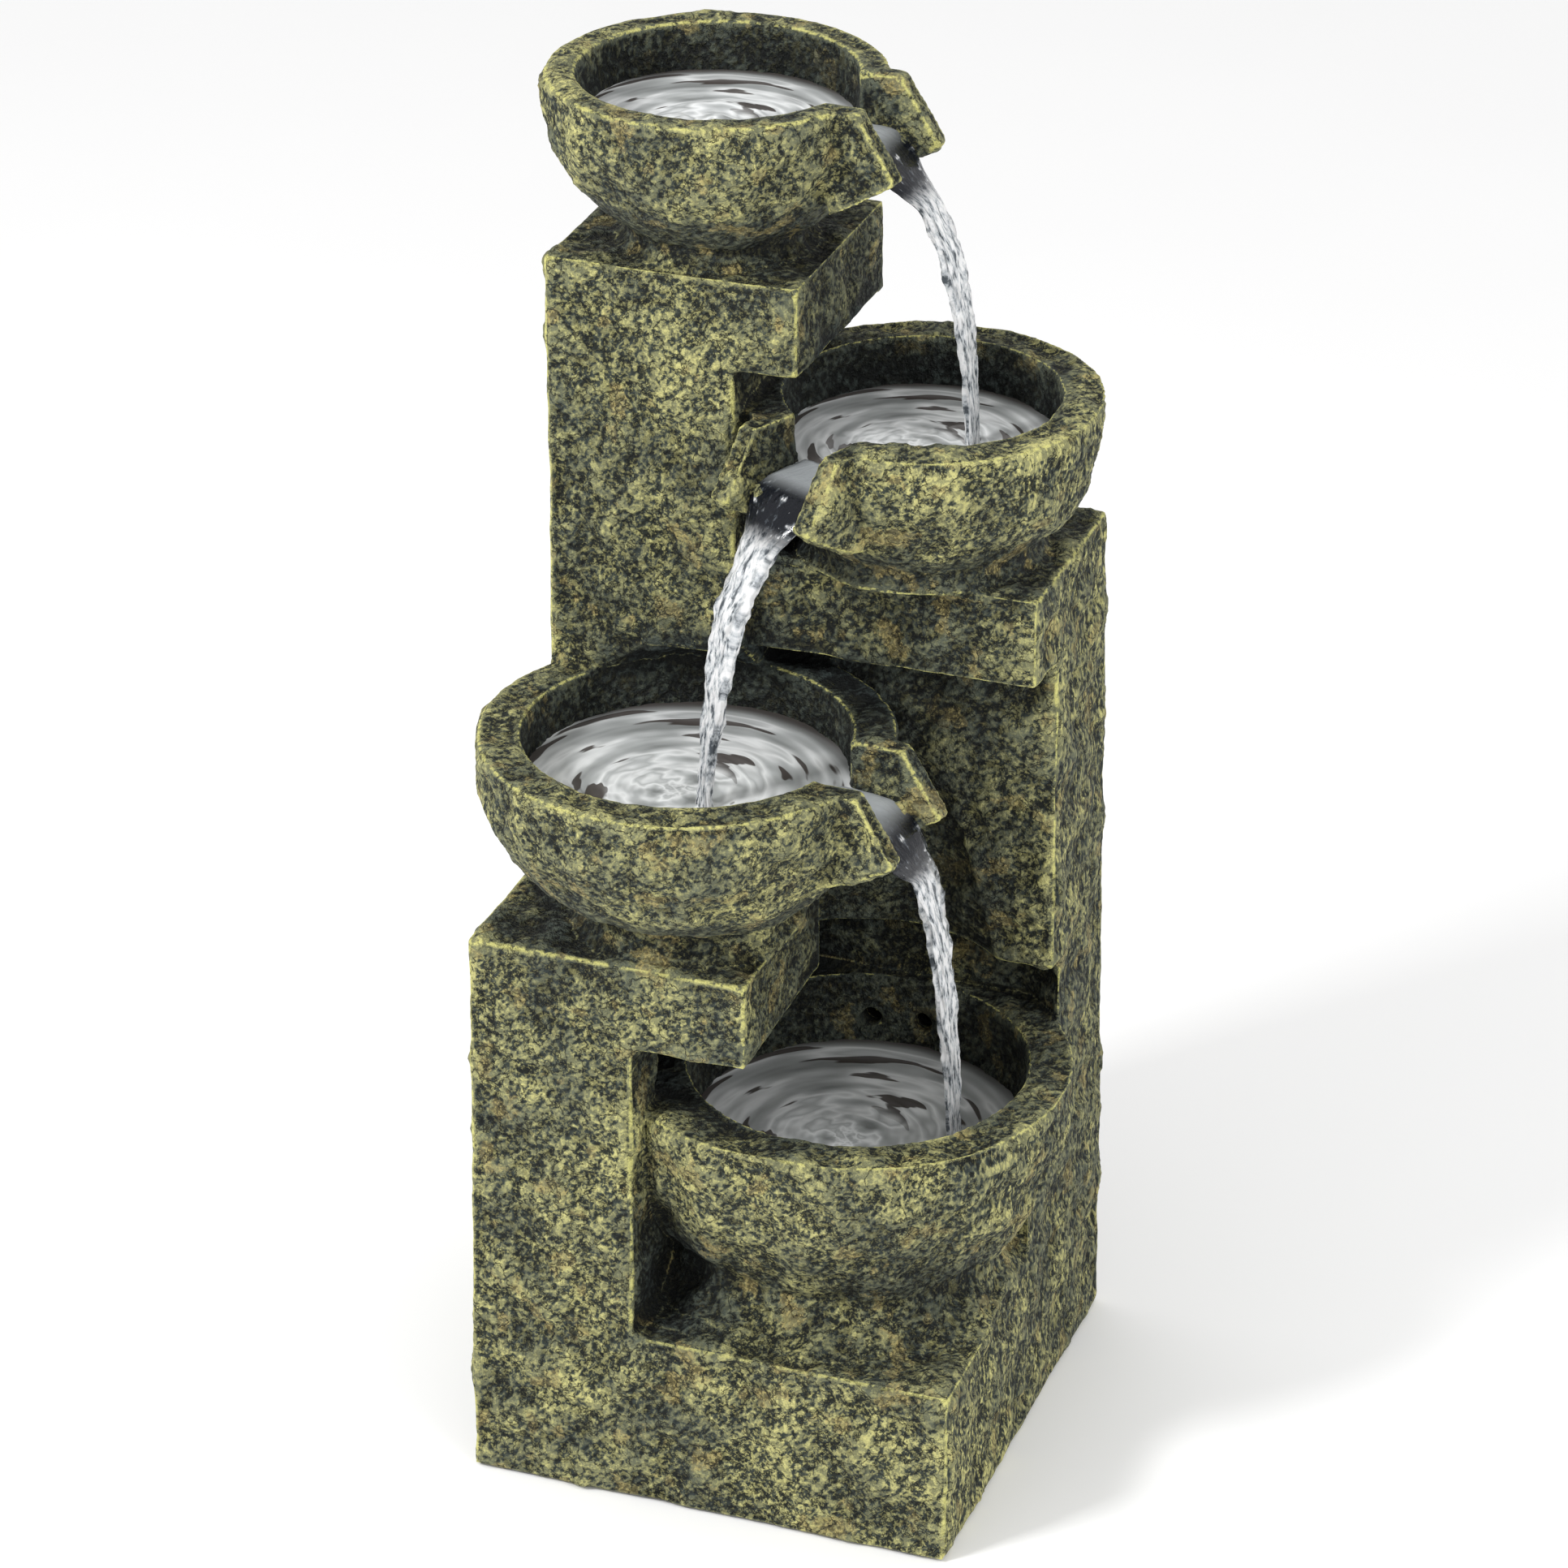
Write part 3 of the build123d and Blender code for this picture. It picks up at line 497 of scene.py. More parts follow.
@dataclass(frozen=True)
class Fitting:
    """The finish of a fitted part."""

    name: str
    colour: str
    grain: Grain = Grain.MOULDED
    rough: float = 0.45
    metal: float = 0.0

    def material(self) -> bpy.types.Material:
        """Build the finish for its kind of grain."""
        t = Tree(self.name)
        base = hex_colour(self.colour)
        shade = tuple(c * 0.62 for c in base[:3]) + (1.0,)
        t.set(Metallic=self.metal)
        if self.grain is Grain.PORES:
            holes = t.cells(900)
            t.set(Base_Color=t.mix(t.span(holes, 0.2, 0.6), shade, base), Roughness=0.95)
            t.bump(holes, 0.8 * MM, 0.9)
            return t.material
        if self.grain in (Grain.LAMINATED, Grain.WOUND):
            axis = (1, 0, 0) if self.grain is Grain.LAMINATED else (0.4, 1, 0.1)
            wave = t.add("ShaderNodeTexWave", bands_direction="X")
            t.feed(wave.inputs["Vector"], t.stretched(*axis))
            wave.inputs["Scale"].default_value = 320
            wave.inputs["Distortion"].default_value = 0.4
            t.set(Base_Color=t.mix(wave.outputs["Fac"], shade, base), Roughness=self.rough)
            t.bump(wave.outputs["Fac"], 0.25 * MM, 0.7)
            return t.material
        place = t.stretched(1, 14, 1) if self.grain is Grain.BRUSHED else t.place
        scale = {Grain.RUBBER: 900, Grain.BRUSHED: 260}.get(self.grain, 1400)
        speck = t.noise(scale, 3, 0.6, place)
        wear = t.noise(55, 4, 0.6)
        t.set(Base_Color=t.mix(t.weighed(0.1, (wear, 0.5), (speck, 0.3)), base, shade))
        t.set(Roughness=t.weighed(self.rough - 0.1, (speck, 0.12), (wear, 0.1)))
        if self.grain is Grain.CLEAR:
            t.set(Transmission_Weight=0.75, IOR=1.45)
        t.bump(speck, 0.12 * MM, 0.5)
        return t.material


# ---------------------------------------------------------------- cast stone
@dataclass
class StoneBody:
    """The plinth, towers and bowls as one weathered casting, kept as a piece for each."""

    nodes: tuple[str, ...] = (
        "plinth", "lower_tower", "tall_tower", "side_tower",
        "top_bowl", "second_bowl", "third_bowl", "basin_bowl",
    )
    grid: float = 1.5 * MM
    coarse_grid: float = 5.5 * MM
    flake_width: float = 21 * MM
    flake_depth: float = 8.0 * MM
    flake_steps: float = 16.0
    swell: float = 1.1 * MM
    swell_width: float = 55 * MM
    pip_depth: float = 0.75 * MM
    pip_width: float = 3.2 * MM
    warp_width: float = 9 * MM
    warp_mm: float = 6.0
    streaks_from: float = 84 * MM
    streaks_full: float = 92 * MM
    ports: tuple[tuple[float, ...], ...] = (
        (15.7 * MM, 40 * MM, 149.5 * MM),
        (37.3 * MM, 40 * MM, 149.5 * MM),
    )
    port_clear: float = 5 * MM
    port_fade: float = 10 * MM
    ridge_unit: float = 0.12 * MM
    foot_clear: float = 1.5 * MM
    shade_reach: float = 0.11
    shade_rays: int = 24
    margin: float = 2.4 * MM
    crease: float = 1.05
    bowls: dict[str, "BowlSpan"] = field(default_factory=dict)

    def joined(self, grid: float, nodes: tuple[str, ...] = ()) -> bpy.types.Mesh:
        """Fuse stone nodes into one closed skin.

        Args:
            grid: size of the skin's faces.
            nodes: the nodes to fuse, or none for all of them.

        Returns:
            The fused mesh.
        """
        shell = bmesh.new()
        for node in nodes or self.nodes:
            shell.from_mesh(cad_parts[node].data)
        bmesh.ops.remove_doubles(shell, verts=shell.verts, dist=0.01 * MM)
        mesh = bpy.data.meshes.new("stone_source")
        shell.to_mesh(mesh)
        shell.free()
        holder = bpy.data.objects.new("stone_source", mesh)
        bpy.context.scene.collection.objects.link(holder)
        fuse = holder.modifiers.new("fuse", "REMESH")
        fuse.mode = "VOXEL"
        fuse.voxel_size = grid
        graph = bpy.context.evaluated_depsgraph_get()
        fused = bpy.data.meshes.new_from_object(holder.evaluated_get(graph))
        bpy.data.objects.remove(holder)
        return fused

    def recess_shade_and_wash(self, points: np.ndarray) -> np.ndarray:
        """Work out how hidden each point is from open air, for the painted shade in the stone's
        corners and recesses.

        Args:
            points: rows of x, y and z.

        Returns:
            0 in the open to 1 in a deep corner, one for each row.
        """
        rough = self.joined(self.coarse_grid)
        tree = BVHTree.FromPolygons(
            [v.co for v in rough.vertices], [tuple(p.vertices) for p in rough.polygons]
        )
        turn = math.pi * (3 - math.sqrt(5))
        rays = []
        for k in range(self.shade_rays):
            spread = (k + 0.5) / self.shade_rays
            out, up = math.sqrt(spread), math.sqrt(1 - spread)
            rays.append(Vector((out * math.cos(turn * k), out * math.sin(turn * k), up)))
        near = KDTree(len(rough.vertices))
        hidden = np.zeros(len(rough.vertices))
        for i, vertex in enumerate(rough.vertices):
            near.insert(vertex.co, i)
            spin = vertex.normal.to_track_quat("Z", "Y")
            start = vertex.co + vertex.normal * self.coarse_grid * 0.4
            hits = sum(
                tree.ray_cast(start, spin @ ray, self.shade_reach)[0] is not None for ray in rays
            )
            hidden[i] = hits / self.shade_rays
        near.balance()
        edges = np.array([tuple(e.vertices) for e in rough.edges])
        hidden = relaxed(hidden[:, None], edges, 2)[:, 0]
        return np.array([
            np.mean([hidden[i] for _, i, _ in near.find_n(point, 3)]) for point in points
        ])

    def relief(
        self, points: np.ndarray, corner: np.ndarray, inside: np.ndarray
    ) -> tuple[np.ndarray, np.ndarray]:
        """Work out the flakes, and how far the whole relief lifts each point.

        Args:
            points: rows of x, y and z.
            corner: how sharply the skin bends outwards at each point.
            inside: how surely each point is inside a bowl.

        Returns:
            The flakes' steps about 0, and the lift in metres.
        """
        warp = np.stack(
            [SolidNoise(k).value(points, self.warp_width) - 0.5 for k in (11, 12, 13)], 1
        ) * self.warp_mm * MM
        level = SolidNoise(3).layered(points + warp, self.flake_width, 2) * self.flake_steps
        terrace = (np.floor(level) + ease(0.74, 0.97, level % 1)) / self.flake_steps - 0.5
        flat = 1 - 0.55 * inside
        pips = SolidNoise(5).layered(points, self.pip_width, 2) - 0.5
        swell = SolidNoise(7).value(points, self.swell_width) - 0.5
        rise = terrace * self.flake_depth * flat + pips * self.pip_depth * 2
        rise += swell * self.swell * 2
        rise *= 1 - 0.8 * ease(0.15, 0.8, np.abs(corner))
        for x, y, z in self.ports:
            away = np.hypot(points[:, 0] - x, points[:, 2] - z) + np.maximum(y - points[:, 1], 0)
            rise *= ease(self.port_clear, self.port_fade, away)
        return terrace, rise

    def weather(self, mesh: bpy.types.Mesh) -> None:
        """Raise flakes and pips on the skin, and keep what the finish reads."""
        edges = np.zeros(len(mesh.edges) * 2, np.int32)
        mesh.edges.foreach_get("vertices", edges)
        edges = edges.reshape(-1, 2)
        points = relaxed(coordinates(mesh), edges, 3)
        mesh.vertices.foreach_set("co", points.astype(np.float32).ravel())
        mesh.update()
        facing = normals(mesh)
        wide = relaxed(points, edges, 6)
        corner = np.einsum("ij,ij->i", points - wide, facing)
        corner /= np.percentile(corner, 99.2)
        facing = relaxed(facing, edges, 4)
        facing /= np.maximum(np.linalg.norm(facing, axis=1), 1e-9)[:, None]
        # How hidden each point is: the stone's painted shade in corners and recesses.
        hidden = self.recess_shade_and_wash(points)
        inside = np.zeros(len(points))
        for bowl in self.bowls.values():
            inside = np.maximum(inside, bowl.inside(points))
        streaks = ease(self.streaks_from, self.streaks_full, np.abs(points[:, 0]))
        side = ease(0.6, 0.9, np.abs(facing[:, 0])) * streaks
        terrace, rise = self.relief(points, corner, inside)
        shaped = points + facing * rise[:, None]
        shaped[:, 2] = np.maximum(shaped[:, 2], CAD_BOX[0].z + self.foot_clear)
        mesh.vertices.foreach_set("co", shaped.astype(np.float32).ravel())
        mesh.update()
        around = relaxed(shaped, edges, 3)
        ridge = np.einsum("ij,ij->i", shaped - around, normals(mesh)) / self.ridge_unit
        store(mesh, "ridge", np.clip(ridge, -1.5, 1.5) + np.clip(terrace * 3, -0.4, 0.4))
        store(mesh, "edge", ease(0.35, 1.0, corner))
        # Kept for the painted shade in corners and recesses.
        store(mesh, "recess_shade_and_wash", hidden)
        store(mesh, "side", side)
        store(mesh, "wet", inside)

    def grown(self, node: str) -> bpy.types.Mesh:
        """Swell a copy of a node's mesh, so that it takes in its weathered surface."""
        mesh = self.joined(3 * MM, (node,))
        points = coordinates(mesh) + normals(mesh) * self.margin
        mesh.vertices.foreach_set("co", points.astype(np.float32).ravel())
        mesh.update()
        return mesh

    def block(self, low: tuple[float, ...], high: tuple[float, ...]) -> bpy.types.Mesh:
        """Make a closed box between two corners."""
        shell = bmesh.new()
        bmesh.ops.create_cube(shell, size=1.0)
        size = Vector(high) - Vector(low)
        for v in shell.verts:
            v.co = Vector(low) + Vector([(c + 0.5) * s for c, s in zip(v.co, size)])
        mesh = bpy.data.meshes.new("stone_block")
        shell.to_mesh(mesh)
        shell.free()
        return mesh

    def carved(self, mesh: bpy.types.Mesh, tool: bpy.types.Mesh, operation: str) -> bpy.types.Mesh:
        """Cut a mesh with another.

        Args:
            mesh: the mesh that is cut.
            tool: the closed mesh that cuts it.
            operation: INTERSECT to keep what they share, DIFFERENCE for the rest.

        Returns:
            The cut mesh.
        """
        pair = [bpy.data.objects.new(m.name, m) for m in (mesh, tool)]
        for holder in pair:
            bpy.context.scene.collection.objects.link(holder)
        cut = pair[0].modifiers.new("cut", "BOOLEAN")
        cut.object = pair[1]
        cut.operation = operation
        cut.solver = "MANIFOLD"
        graph = bpy.context.evaluated_depsgraph_get()
        done = bpy.data.meshes.new_from_object(pair[0].evaluated_get(graph))
        for holder in pair:
            bpy.data.objects.remove(holder)
        return done

    def divided(self, mesh: bpy.types.Mesh) -> dict[str, bpy.types.Mesh]:
        """Split the weathered skin into one closed piece for each node.

        Args:
            mesh: the whole skin.

        Returns:
            Each node's piece.
        """
        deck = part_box("plinth")[1].z
        split_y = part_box("lower_tower")[1].y
        split_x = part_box("side_tower")[0].x
        cap_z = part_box("side_tower")[1].z + 6 * self.margin
        out = 1.0
        tools = {f"{b}_bowl": self.grown(f"{b}_bowl") for b in self.bowls}
        tools["plinth"] = self.block((-out, -out, -out), (out, out, deck))
        tools["lower_tower"] = self.block((-out, -out, deck), (out, split_y, out))
        tools["side_tower"] = self.block((split_x, split_y, deck), (out, out, cap_z))
        pieces = {}
        rest = mesh
        for node, tool in tools.items():
            pieces[node] = self.carved(rest, tool, "INTERSECT")
            rest = self.carved(rest, tool, "DIFFERENCE")
            log.info("%s piece has %d faces", node, len(pieces[node].polygons))
        pieces["tall_tower"] = rest
        return pieces

    def build(self) -> list[bpy.types.Object]:
        """Make the stone pieces, dress them and put them in place of their nodes."""
        mesh = self.joined(self.grid)
        log.info("stone skin has %d faces", len(mesh.polygons))
        self.weather(mesh)
        finish = CastStone().material()
        pieces = []
        for node, part in self.divided(mesh).items():
            part.polygons.foreach_set("use_smooth", np.ones(len(part.polygons), bool))
            part.set_sharp_from_angle(angle=self.crease)
            part.materials.clear()
            part.materials.append(finish)
            stone = bpy.data.objects.new(f"stone_{node}", part)
            bpy.context.scene.collection.objects.link(stone)
            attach(stone, "fountain")
            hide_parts(node)
            pieces.append(stone)
        return pieces


@dataclass(frozen=True)
class BowlSpan:
    """Where a bowl's water stands: its axis, rim and the water's level."""

    x: float
    y: float
    rim_z: float
    inner: float
    drop: float
    outer: float = 0.0
    spout: float | None = None

    @property
    def level(self) -> float:
        """Height of the water."""
        return self.rim_z - self.drop

    def inside(self, points: np.ndarray) -> np.ndarray:
        """Tell how surely each point is on the inside of the bowl, from 0 to 1."""
        away = np.hypot(points[:, 0] - self.x, points[:, 1] - self.y)
        below = ease(-3 * MM, 0.0, self.rim_z - 2 * MM - points[:, 2])
        above = ease(-4 * MM, 0.0, points[:, 2] - self.rim_z + 60 * MM)
        return ease(-1.5 * MM, 1.5 * MM, self.inner + 1.5 * MM - away) * below * above


# ---------------------------------------------------------------- water
@dataclass
class Pool:
    """Standing water in one bowl, with rings where a stream lands."""

    name: str
    bowl: BowlSpan
    landing: tuple[float, float]
    rings: int = 44
    spokes: int = 128
    ripple: float = 0.9 * MM
    ring_width: float = 2.4 * MM
    thickness: float = 3.5 * MM

    def build(self) -> bpy.types.Object:
        """Make the rippled slab of water."""
        bowl = self.bowl
        radius = bowl.inner + 1.2 * MM
        rows = []
        for ring in range(self.rings + 1):
            for spoke in range(self.spokes):
                a = 2 * math.pi * spoke / self.spokes
                r = radius * ring / self.rings
                rows.append((bowl.x + r * math.cos(a), bowl.y + r * math.sin(a), bowl.level))
        points = np.array(rows)
        away = np.hypot(points[:, 0] - self.landing[0], points[:, 1] - self.landing[1])
        shore = np.hypot(points[:, 0] - bowl.x, points[:, 1] - bowl.y) / radius
        ring = np.cos(away / self.ring_width) * np.exp(-away / (22 * MM))
        lumps = SolidNoise(21).layered(points * (1, 1.7, 1), 16 * MM, 3) - 0.5
        points[:, 2] += self.ripple * (0.8 * ring + 1.5 * lumps) * (1 - shore**6)
        mesh = bpy.data.meshes.new(self.name)
        shell = bmesh.new()
        top = [shell.verts.new(p) for p in points]
        n = self.spokes
        for k in range(1, self.rings):
            for s in range(n):
                a, b = k * n + s, k * n + (s + 1) % n
                shell.faces.new((top[a], top[a + n], top[b + n], top[b]))
        low = [shell.verts.new((p[0], p[1], bowl.level - self.thickness)) for p in points[-n:]]
        rim = top[-n:]
        for s in range(n):
            shell.faces.new((rim[s], low[s], low[(s + 1) % n], rim[(s + 1) % n]))
        shell.faces.new(top[n : 2 * n])
        shell.faces.new(low[::-1])
        bmesh.ops.delete(shell, geom=[v for v in shell.verts if not v.link_faces], context="VERTS")
        bmesh.ops.recalc_face_normals(shell, faces=shell.faces)
        shell.to_mesh(mesh)
        shell.free()
        here = coordinates(mesh)
        away = np.hypot(here[:, 0] - self.landing[0], here[:, 1] - self.landing[1])
        shore = np.hypot(here[:, 0] - bowl.x, here[:, 1] - bowl.y) / radius
        behind = ease(0.1, 0.95, (here[:, 1] - bowl.y) / radius)
        store(mesh, "ring", np.cos(away / self.ring_width) * np.exp(-away / (26 * MM)))
        out = here[:, :2] - (bowl.x, bowl.y - 0.2 * radius)
        reach = np.hypot(out[:, 0], out[:, 1])
        store(mesh, "reach", 3.4 * reach / radius)
        store(mesh, "east", 0.5 * out[:, 0] / np.maximum(reach, 6 * MM))
        store(mesh, "north", 0.5 * out[:, 1] / np.maximum(reach, 6 * MM))
        # Dark band at the rim, strongest at the back: the pool's painted reflection of the walls.
        store(mesh, "shore", ease(0.74, 1.0, shore) * (0.35 + 0.65 * behind))
        return placed(mesh, self.name, StillWater().material())


STREAM_HALF_WIDTHS = {
    0: 17.3, 0.13: 17.3, 0.2: 16.2, 0.3: 9.4, 0.42: 7.6, 0.62: 5.6, 0.86: 3.6, 0.97: 3.0, 1: 4.2,
}
STREAM_HALF_DEPTHS = {0: 1.5, 0.18: 1.5, 0.3: 2.4, 0.5: 3.4, 1: 2.4}


def along_stream(share: np.ndarray, sizes: dict[float, float]) -> np.ndarray:
    """Read sizes in millimetres at shares of a stream's length, as metres."""
    return np.interp(share, list(sizes), np.array(list(sizes.values())) * MM)


@dataclass
class Stream:
    """Water that slides over a spout and falls to the next pool."""

    name: str
    bowl: BowlSpan
    angle: float
    landing: tuple[float, float, float]
    crest: float = 3 * MM
    film: float = 3.0 * MM
    steps: int = 150
    sides: int = 40
    seed: int = 31

    def route(self) -> tuple[np.ndarray, np.ndarray]:
        """Lay out the stream's middle line.

        Returns:
            Points along it, and how far down it each is from 0 to 1.
        """
        bowl = self.bowl
        a = math.radians(self.angle)
        way = Vector((math.cos(a), math.sin(a), 0))
        start = Vector((bowl.x, bowl.y, bowl.rim_z))
        brink = bowl.outer + self.crest
        run = brink - bowl.inner

        def at(out: float, down: float) -> Vector:
            """A point this far out along the spout and below the rim."""
            return start + way * out - Vector((0, 0, down))

        level = bowl.drop + 0.4 * MM
        knots = [
            at(bowl.inner - 6 * MM, level), at(bowl.inner + 0.45 * run, level + 0.2 * MM),
            at(brink - 2 * MM, level + 0.9 * MM), at(brink + 3 * MM, level + 5.5 * MM),
            at(brink + 9 * MM, level + 13 * MM),
        ]
        lip = knots[-1]
        end = Vector(self.landing)
        fall = [lip.lerp(end, u) for u in (0.14, 0.34, 0.58, 0.8, 1.0)]
        arch = [0.085, 0.135, 0.12, 0.07, 0.0]
        flat_way = Vector((end.x - lip.x, end.y - lip.y, 0))
        drop = lip.z - end.z
        knots += [
            p + flat_way * h * 1.9 + Vector((0, 0, drop * h * 0.55)) for p, h in zip(fall, arch)
        ]
        path = np.array(knots)
        gaps = np.linalg.norm(np.diff(path, axis=0), axis=1)
        place = np.concatenate([[0], np.cumsum(gaps)])
        fine = np.linspace(0, place[-1], self.steps)
        line = np.stack([np.interp(fine, place, path[:, k]) for k in range(3)], 1)
        for _ in range(14):
            line[1:-1] = (line[:-2] + 2 * line[1:-1] + line[2:]) / 4
        return line, fine / place[-1]

    def build(self) -> bpy.types.Object:
        """Sweep a wrinkled section down the stream's middle line."""
        line, share = self.route()
        metres = share * np.sum(np.linalg.norm(np.diff(line, axis=0), axis=1))
        tangent = np.gradient(line, axis=0)
        tangent /= np.linalg.norm(tangent, axis=1)[:, None]
        a = math.radians(self.angle)
        across = np.array([-math.sin(a), math.cos(a), 0.0])
        lift = np.cross(tangent, across)
        lift /= np.linalg.norm(lift, axis=1)[:, None]
        lift *= np.sign(lift[:, 2:3] + 1e-9)
        half = along_stream(share, STREAM_HALF_WIDTHS)
        deep = along_stream(share, STREAM_HALF_DEPTHS)
        free = ease(0.24, 0.4, share)
        noise = SolidNoise(self.seed)
        shell = bmesh.new()
        rings = []
        facts = []
        for k in range(self.steps):
            turn = np.linspace(0, 2 * math.pi, self.sides, endpoint=False)
            far = np.full(self.sides, metres[k] / (30 * MM))
            lobes = np.stack([np.cos(turn) * 1.3, np.sin(turn) * 1.3, far], 1)
            wrinkle = noise.layered(lobes + 5, 0.42, 3) - 0.5
            grow = 1 + wrinkle * (0.25 + 1.1 * free[k])
            drift = noise.value(np.array([[3.3, 1.7, metres[k] / (34 * MM)]]), 1.0)[0] - 0.5
            sway = drift * 4 * MM * free[k]
            u = np.cos(turn) * half[k] * grow + sway
            v = np.sin(turn) * deep[k] * grow
            ring = line[k] + u[:, None] * across + v[:, None] * lift[k]
            rings.append([shell.verts.new(p) for p in ring])
            facts += [(share[k], c) for c in np.cos(turn) * 0.6 + np.sin(turn) * 0.25]
        for low, high in zip(rings, rings[1:]):
            for s in range(self.sides):
                after = (s + 1) % self.sides
                shell.faces.new((low[s], low[after], high[after], high[s]))
        shell.faces.new(rings[0][::-1])
        shell.faces.new(rings[-1])
        bmesh.ops.recalc_face_normals(shell, faces=shell.faces)
        mesh = bpy.data.meshes.new(self.name)
        shell.to_mesh(mesh)
        shell.free()
        store(mesh, "along", np.array([f[0] for f in facts]))
        store(mesh, "across", np.array([f[1] for f in facts]))
        return placed(mesh, self.name, RunningWater().material())


def placed(mesh: bpy.types.Mesh, name: str, finish: bpy.types.Material) -> bpy.types.Object:
    """Show a mesh as a smooth piece that rides on the fountain.

    Args:
        mesh: the piece's mesh.
        name: the piece's name.
        finish: the material it is dressed in.

    Returns:
        The piece.
    """
    mesh.polygons.foreach_set("use_smooth", np.ones(len(mesh.polygons), bool))
    mesh.materials.append(finish)
    piece = bpy.data.objects.new(name, mesh)
    bpy.context.scene.collection.objects.link(piece)
    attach(piece, "fountain")
    return piece


@dataclass
class Water:
    """All the water that shows."""

    bowls: dict[str, BowlSpan]

    def build(self) -> list[bpy.types.Object]:
        """Fill the four bowls and run the three streams."""
        top, second, third, basin = (self.bowls[k] for k in ("top", "second", "third", "basin"))
        spots = {
            "second": (58 * MM, 40 * MM),
            "third": (-11.5 * MM, -69 * MM),
            "basin": (74 * MM, -20 * MM),
        }
        made = [Pool("top_pool", top, (top.x, top.y)).build()]
        for name, bowl in (("second", second), ("third", third), ("basin", basin)):
            made.append(Pool(f"{name}_pool", bowl, spots[name]).build())
        for seed, (name, bowl, goal) in enumerate(
            (("top", top, second), ("second", second, third), ("third", third, basin))
        ):
            spot = spots[{"top": "second", "second": "third", "third": "basin"}[name]]
            landing = (*spot, goal.level - 1 * MM)
            made.append(Stream(f"{name}_stream", bowl, bowl.spout, landing, seed=31 + seed).build())
        return made


# ---------------------------------------------------------------- fitted parts
@dataclass
class FittedParts:
    """Finishes of the parts that show as the CAD has them."""

    finishes: tuple[tuple[Fitting, tuple[str, ...]], ...] = (
        (Fitting("mat_foam", "2b2c2b", Grain.PORES), ("base_mat",)),
        (Fitting("door_plastic", "2f342d"), ("rear_door",)),
        (
            Fitting("black_rubber", "1a1b1b", Grain.RUBBER, 0.7),
            ("cable_grommet", "inlet_washer", "volute_o_ring"),
        ),
        (Fitting("black_plastic", "1f2021", rough=0.4), ("inlet_fitting", "inlet_nut")),
        (Fitting("clear_hose", "dfe7e4", Grain.CLEAR, 0.2), ("riser_hose",)),
        (Fitting("clip_plastic", "e9e8e2"), ("hose_clips",)),
        (
            Fitting("pump_plastic", "1c1d1f", rough=0.38),
            ("pump_housing", "volute_cover", "outlet_adapter"),
        ),
        (Fitting("potting_resin", "101114", Grain.RUBBER, 0.25), ("potting_plug",)),
        (Fitting("core_steel", "8b8d90", Grain.LAMINATED, 0.4, 1.0), ("stator_core",)),
        (Fitting("copper_winding", "b0672f", Grain.WOUND, 0.35, 1.0), ("coil",)),
        (Fitting("ferrite", "38383a", Grain.RUBBER, 0.6), ("rotor_magnet",)),
        (Fitting("impeller_plastic", "d9d8d2"), ("impeller",)),
        (Fitting("shaft_steel", "b9bcc0", Grain.BRUSHED, 0.25, 1.0), ("rotor_shaft",)),
        (
            Fitting("bush_rubber", "222323", Grain.RUBBER, 0.7),
            ("shaft_bush_rear", "shaft_bush_front"),
        ),
        (Fitting("cover_plastic", "232528", rough=0.42), ("intake_cover",)),
        (Fitting("filter_foam", "26282a", Grain.PORES), ("filter_sponge",)),
        (Fitting("dial_plastic", "5b6064"), ("flow_dial",)),
        (Fitting("cup_rubber", "3a3c3c", Grain.RUBBER, 0.5), ("suction_cups",)),
    )

    def build(self) -> list[str]:
        """Dress each node and return the nodes' names."""
        dressed = []
        for finish, nodes in self.finishes:
            material = finish.material()
            for node in nodes:
                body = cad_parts[node]
                body.data.materials.clear()
                body.data.materials.append(material)
                dressed.append(node)
        return dressed


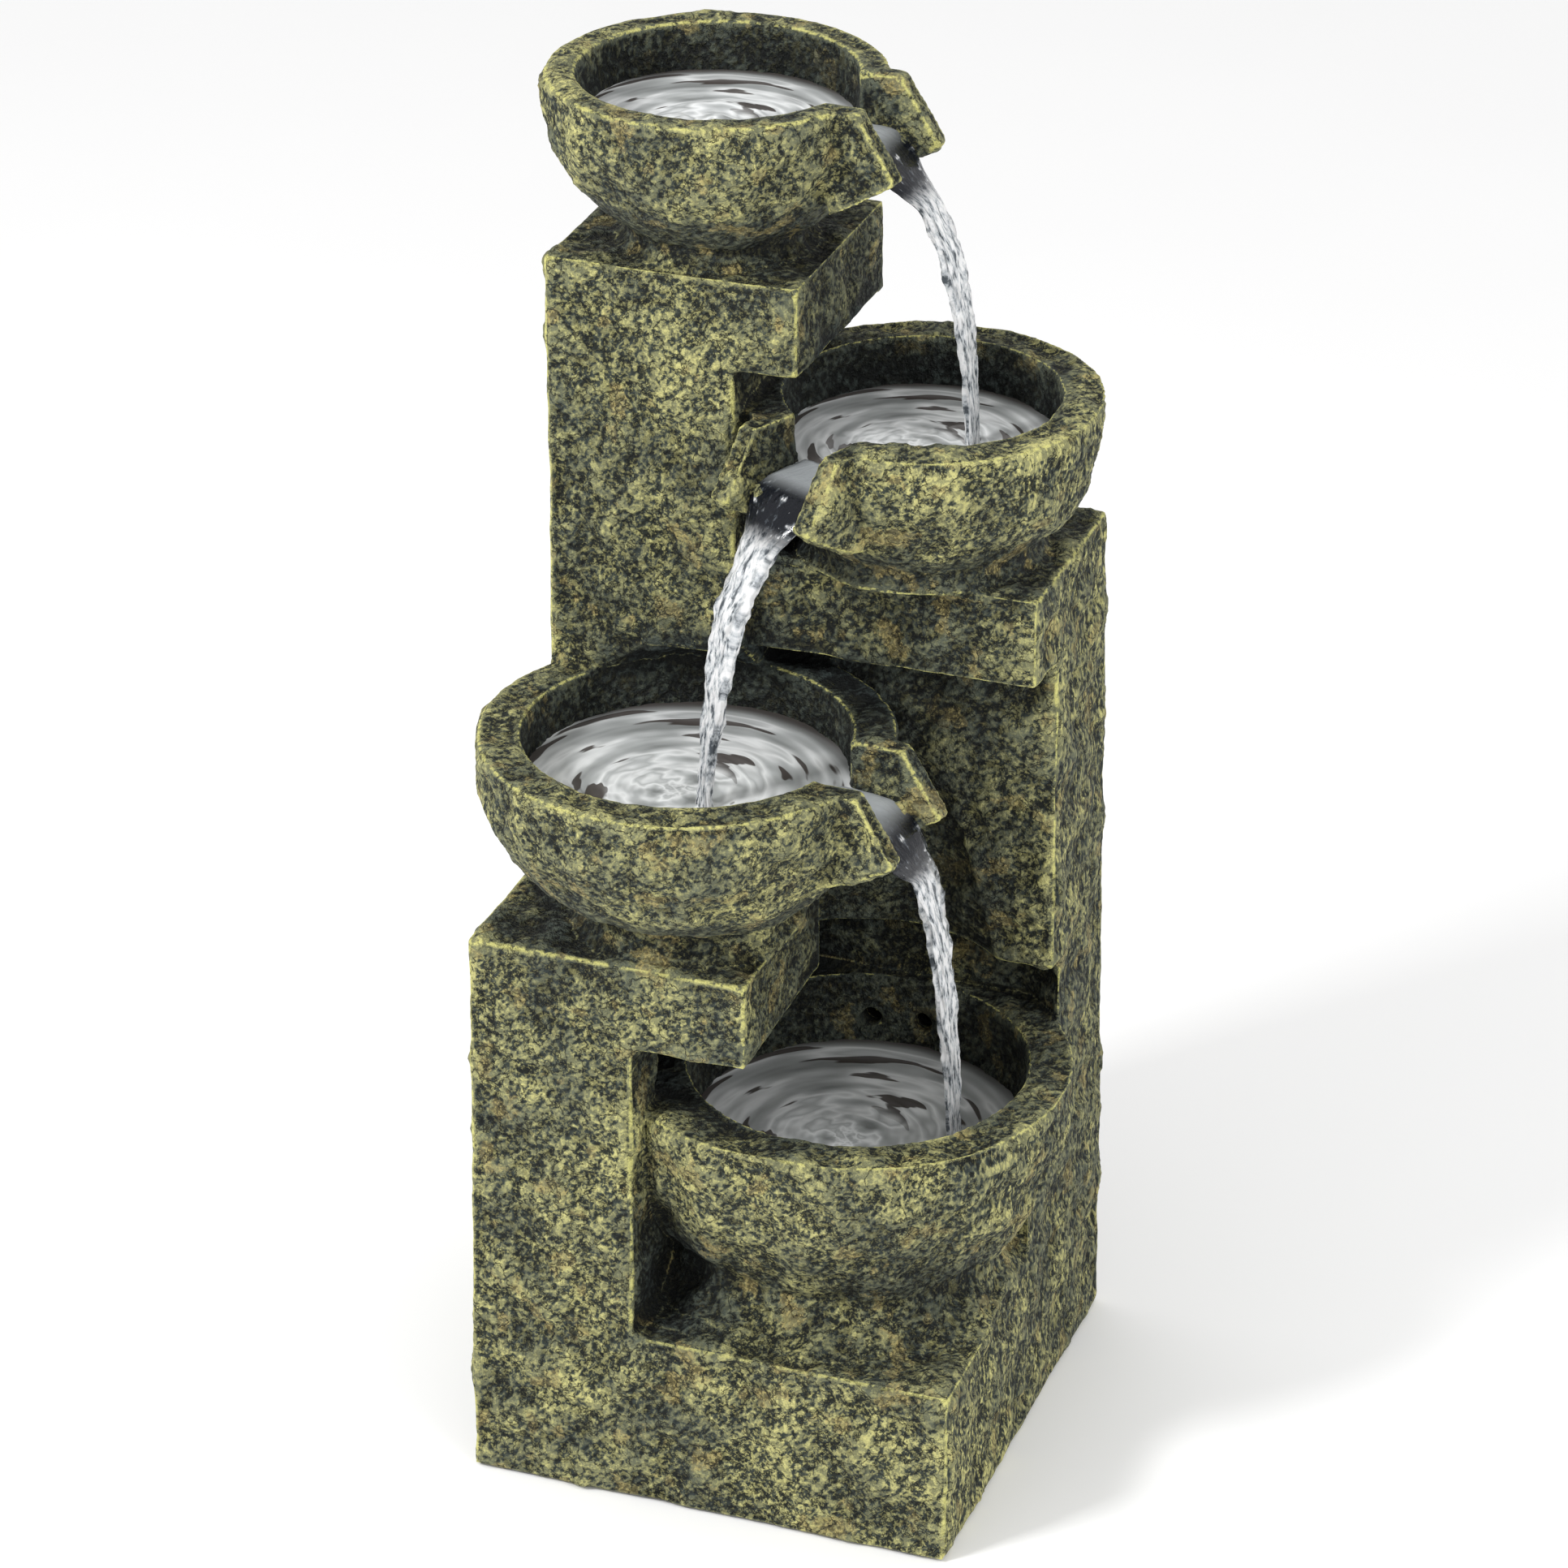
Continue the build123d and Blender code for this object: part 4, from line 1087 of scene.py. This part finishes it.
# ---------------------------------------------------------------- studio
@dataclass
class Studio:
    """A pale floor, soft light and the camera."""

    heading: float = 20.048
    tilt: float = 27.324
    distance: float = 2.1229
    lens: float = 125.3
    aim_right: float = -4.0 * MM
    aim_up: float = 276.4 * MM
    sky: float = 0.84
    key: float = 23.0

    def build(self) -> None:
        """Set up the floor, world, lamps and camera."""
        floor_mesh = bpy.data.meshes.new("studio_floor")
        half = 12.0
        floor_mesh.from_pydata(
            [(-half, -half, 0), (half, -half, 0), (half, half, 0), (-half, half, 0)],
            [],
            [(0, 1, 2, 3)],
        )
        floor = bpy.data.objects.new("studio_floor", floor_mesh)
        bpy.context.scene.collection.objects.link(floor)
        t = Tree("studio_floor")
        paper = t.mix(t.noise(3, 2), hex_colour("ffffff"), hex_colour("fcfcfc"))
        t.set(Base_Color=paper, Roughness=0.9)
        floor_mesh.materials.append(t.material)
        world = bpy.data.worlds.new("studio")
        bpy.context.scene.world = world
        world.use_nodes = True
        world.node_tree.nodes["Background"].inputs["Color"].default_value = (1, 1, 1, 1)
        world.node_tree.nodes["Background"].inputs["Strength"].default_value = self.sky
        self.lamp("key_lamp", (-0.95, -1.25, 1.45), 0.35, self.key)
        self.lamp("fill_lamp", (1.5, -0.7, 0.9), 1.0, self.key * 0.45)
        bpy.context.scene.view_settings.view_transform = "Standard"
        self.camera()

    def lamp(self, name: str, place: tuple[float, float, float], size: float, power: float) -> None:
        """Add a square soft lamp that faces the fountain.

        Args:
            name: the lamp's name.
            place: where it stands.
            size: length of its side.
            power: its power in watts.
        """
        data = bpy.data.lights.new(name, "AREA")
        data.size = size
        data.energy = power
        lamp = bpy.data.objects.new(name, data)
        bpy.context.scene.collection.objects.link(lamp)
        lamp.location = place
        aim = Vector((0, 0, 0.28)) - lamp.location
        lamp.rotation_euler = aim.to_track_quat("-Z", "Y").to_euler()

    def camera(self) -> None:
        """Add the camera at its heading and tilt round the fountain."""
        a, e = math.radians(self.heading), math.radians(self.tilt)
        back = Vector((math.sin(a) * math.cos(e), -math.cos(a) * math.cos(e), math.sin(e)))
        right = Vector((math.cos(a), math.sin(a), 0))
        up = back.cross(right)
        spot = right * self.aim_right + Vector((0, 0, self.aim_up)) + back * self.distance
        data = bpy.data.cameras.new("camera")
        data.lens = self.lens
        data.sensor_width = 36.0
        camera = bpy.data.objects.new("camera", data)
        bpy.context.scene.collection.objects.link(camera)
        turn = Matrix((right, up, back)).transposed().to_4x4()
        camera.matrix_world = Matrix.Translation(spot) @ turn
        bpy.context.scene.camera = camera


# ---------------------------------------------------------------- assembly
def bowl_spans() -> dict[str, BowlSpan]:
    """Find where each bowl holds its water.

    Returns:
        The four bowls by name.
    """
    # axis x and y, outer radius, rim, water below the rim, and the spout's heading
    shapes = {
        "top": (-42, 31, 65, 12, 19.5, -3.0), "second": (38.5, 37, 69.5, 16.5, 19.5, -116.0),
        "third": (-26, -48, 80, 17, 19.5, -5.0), "basin": (33, -17, 85, 18, 29, None),
    }
    spans = {}
    for name, (x, y, radius, rim, drop, spout) in shapes.items():
        rim_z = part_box(f"{name}_bowl")[1].z
        spans[name] = BowlSpan(
            x * MM, y * MM, rim_z, (radius - rim) * MM, drop * MM, radius * MM, spout
        )
    return spans


def main() -> None:
    """Build the fountain's looks in order."""
    logging.basicConfig(level=logging.INFO, format="%(name)s: %(message)s")
    Studio().build()
    bowls = bowl_spans()
    for piece in StoneBody(bowls=bowls).build():
        log.info("built %s", piece.name)
    for piece in Water(bowls).build():
        log.info("built %s", piece.name)
    for node in FittedParts().build():
        log.info("dressed %s", node)


if __name__ == "__main__":
    main()
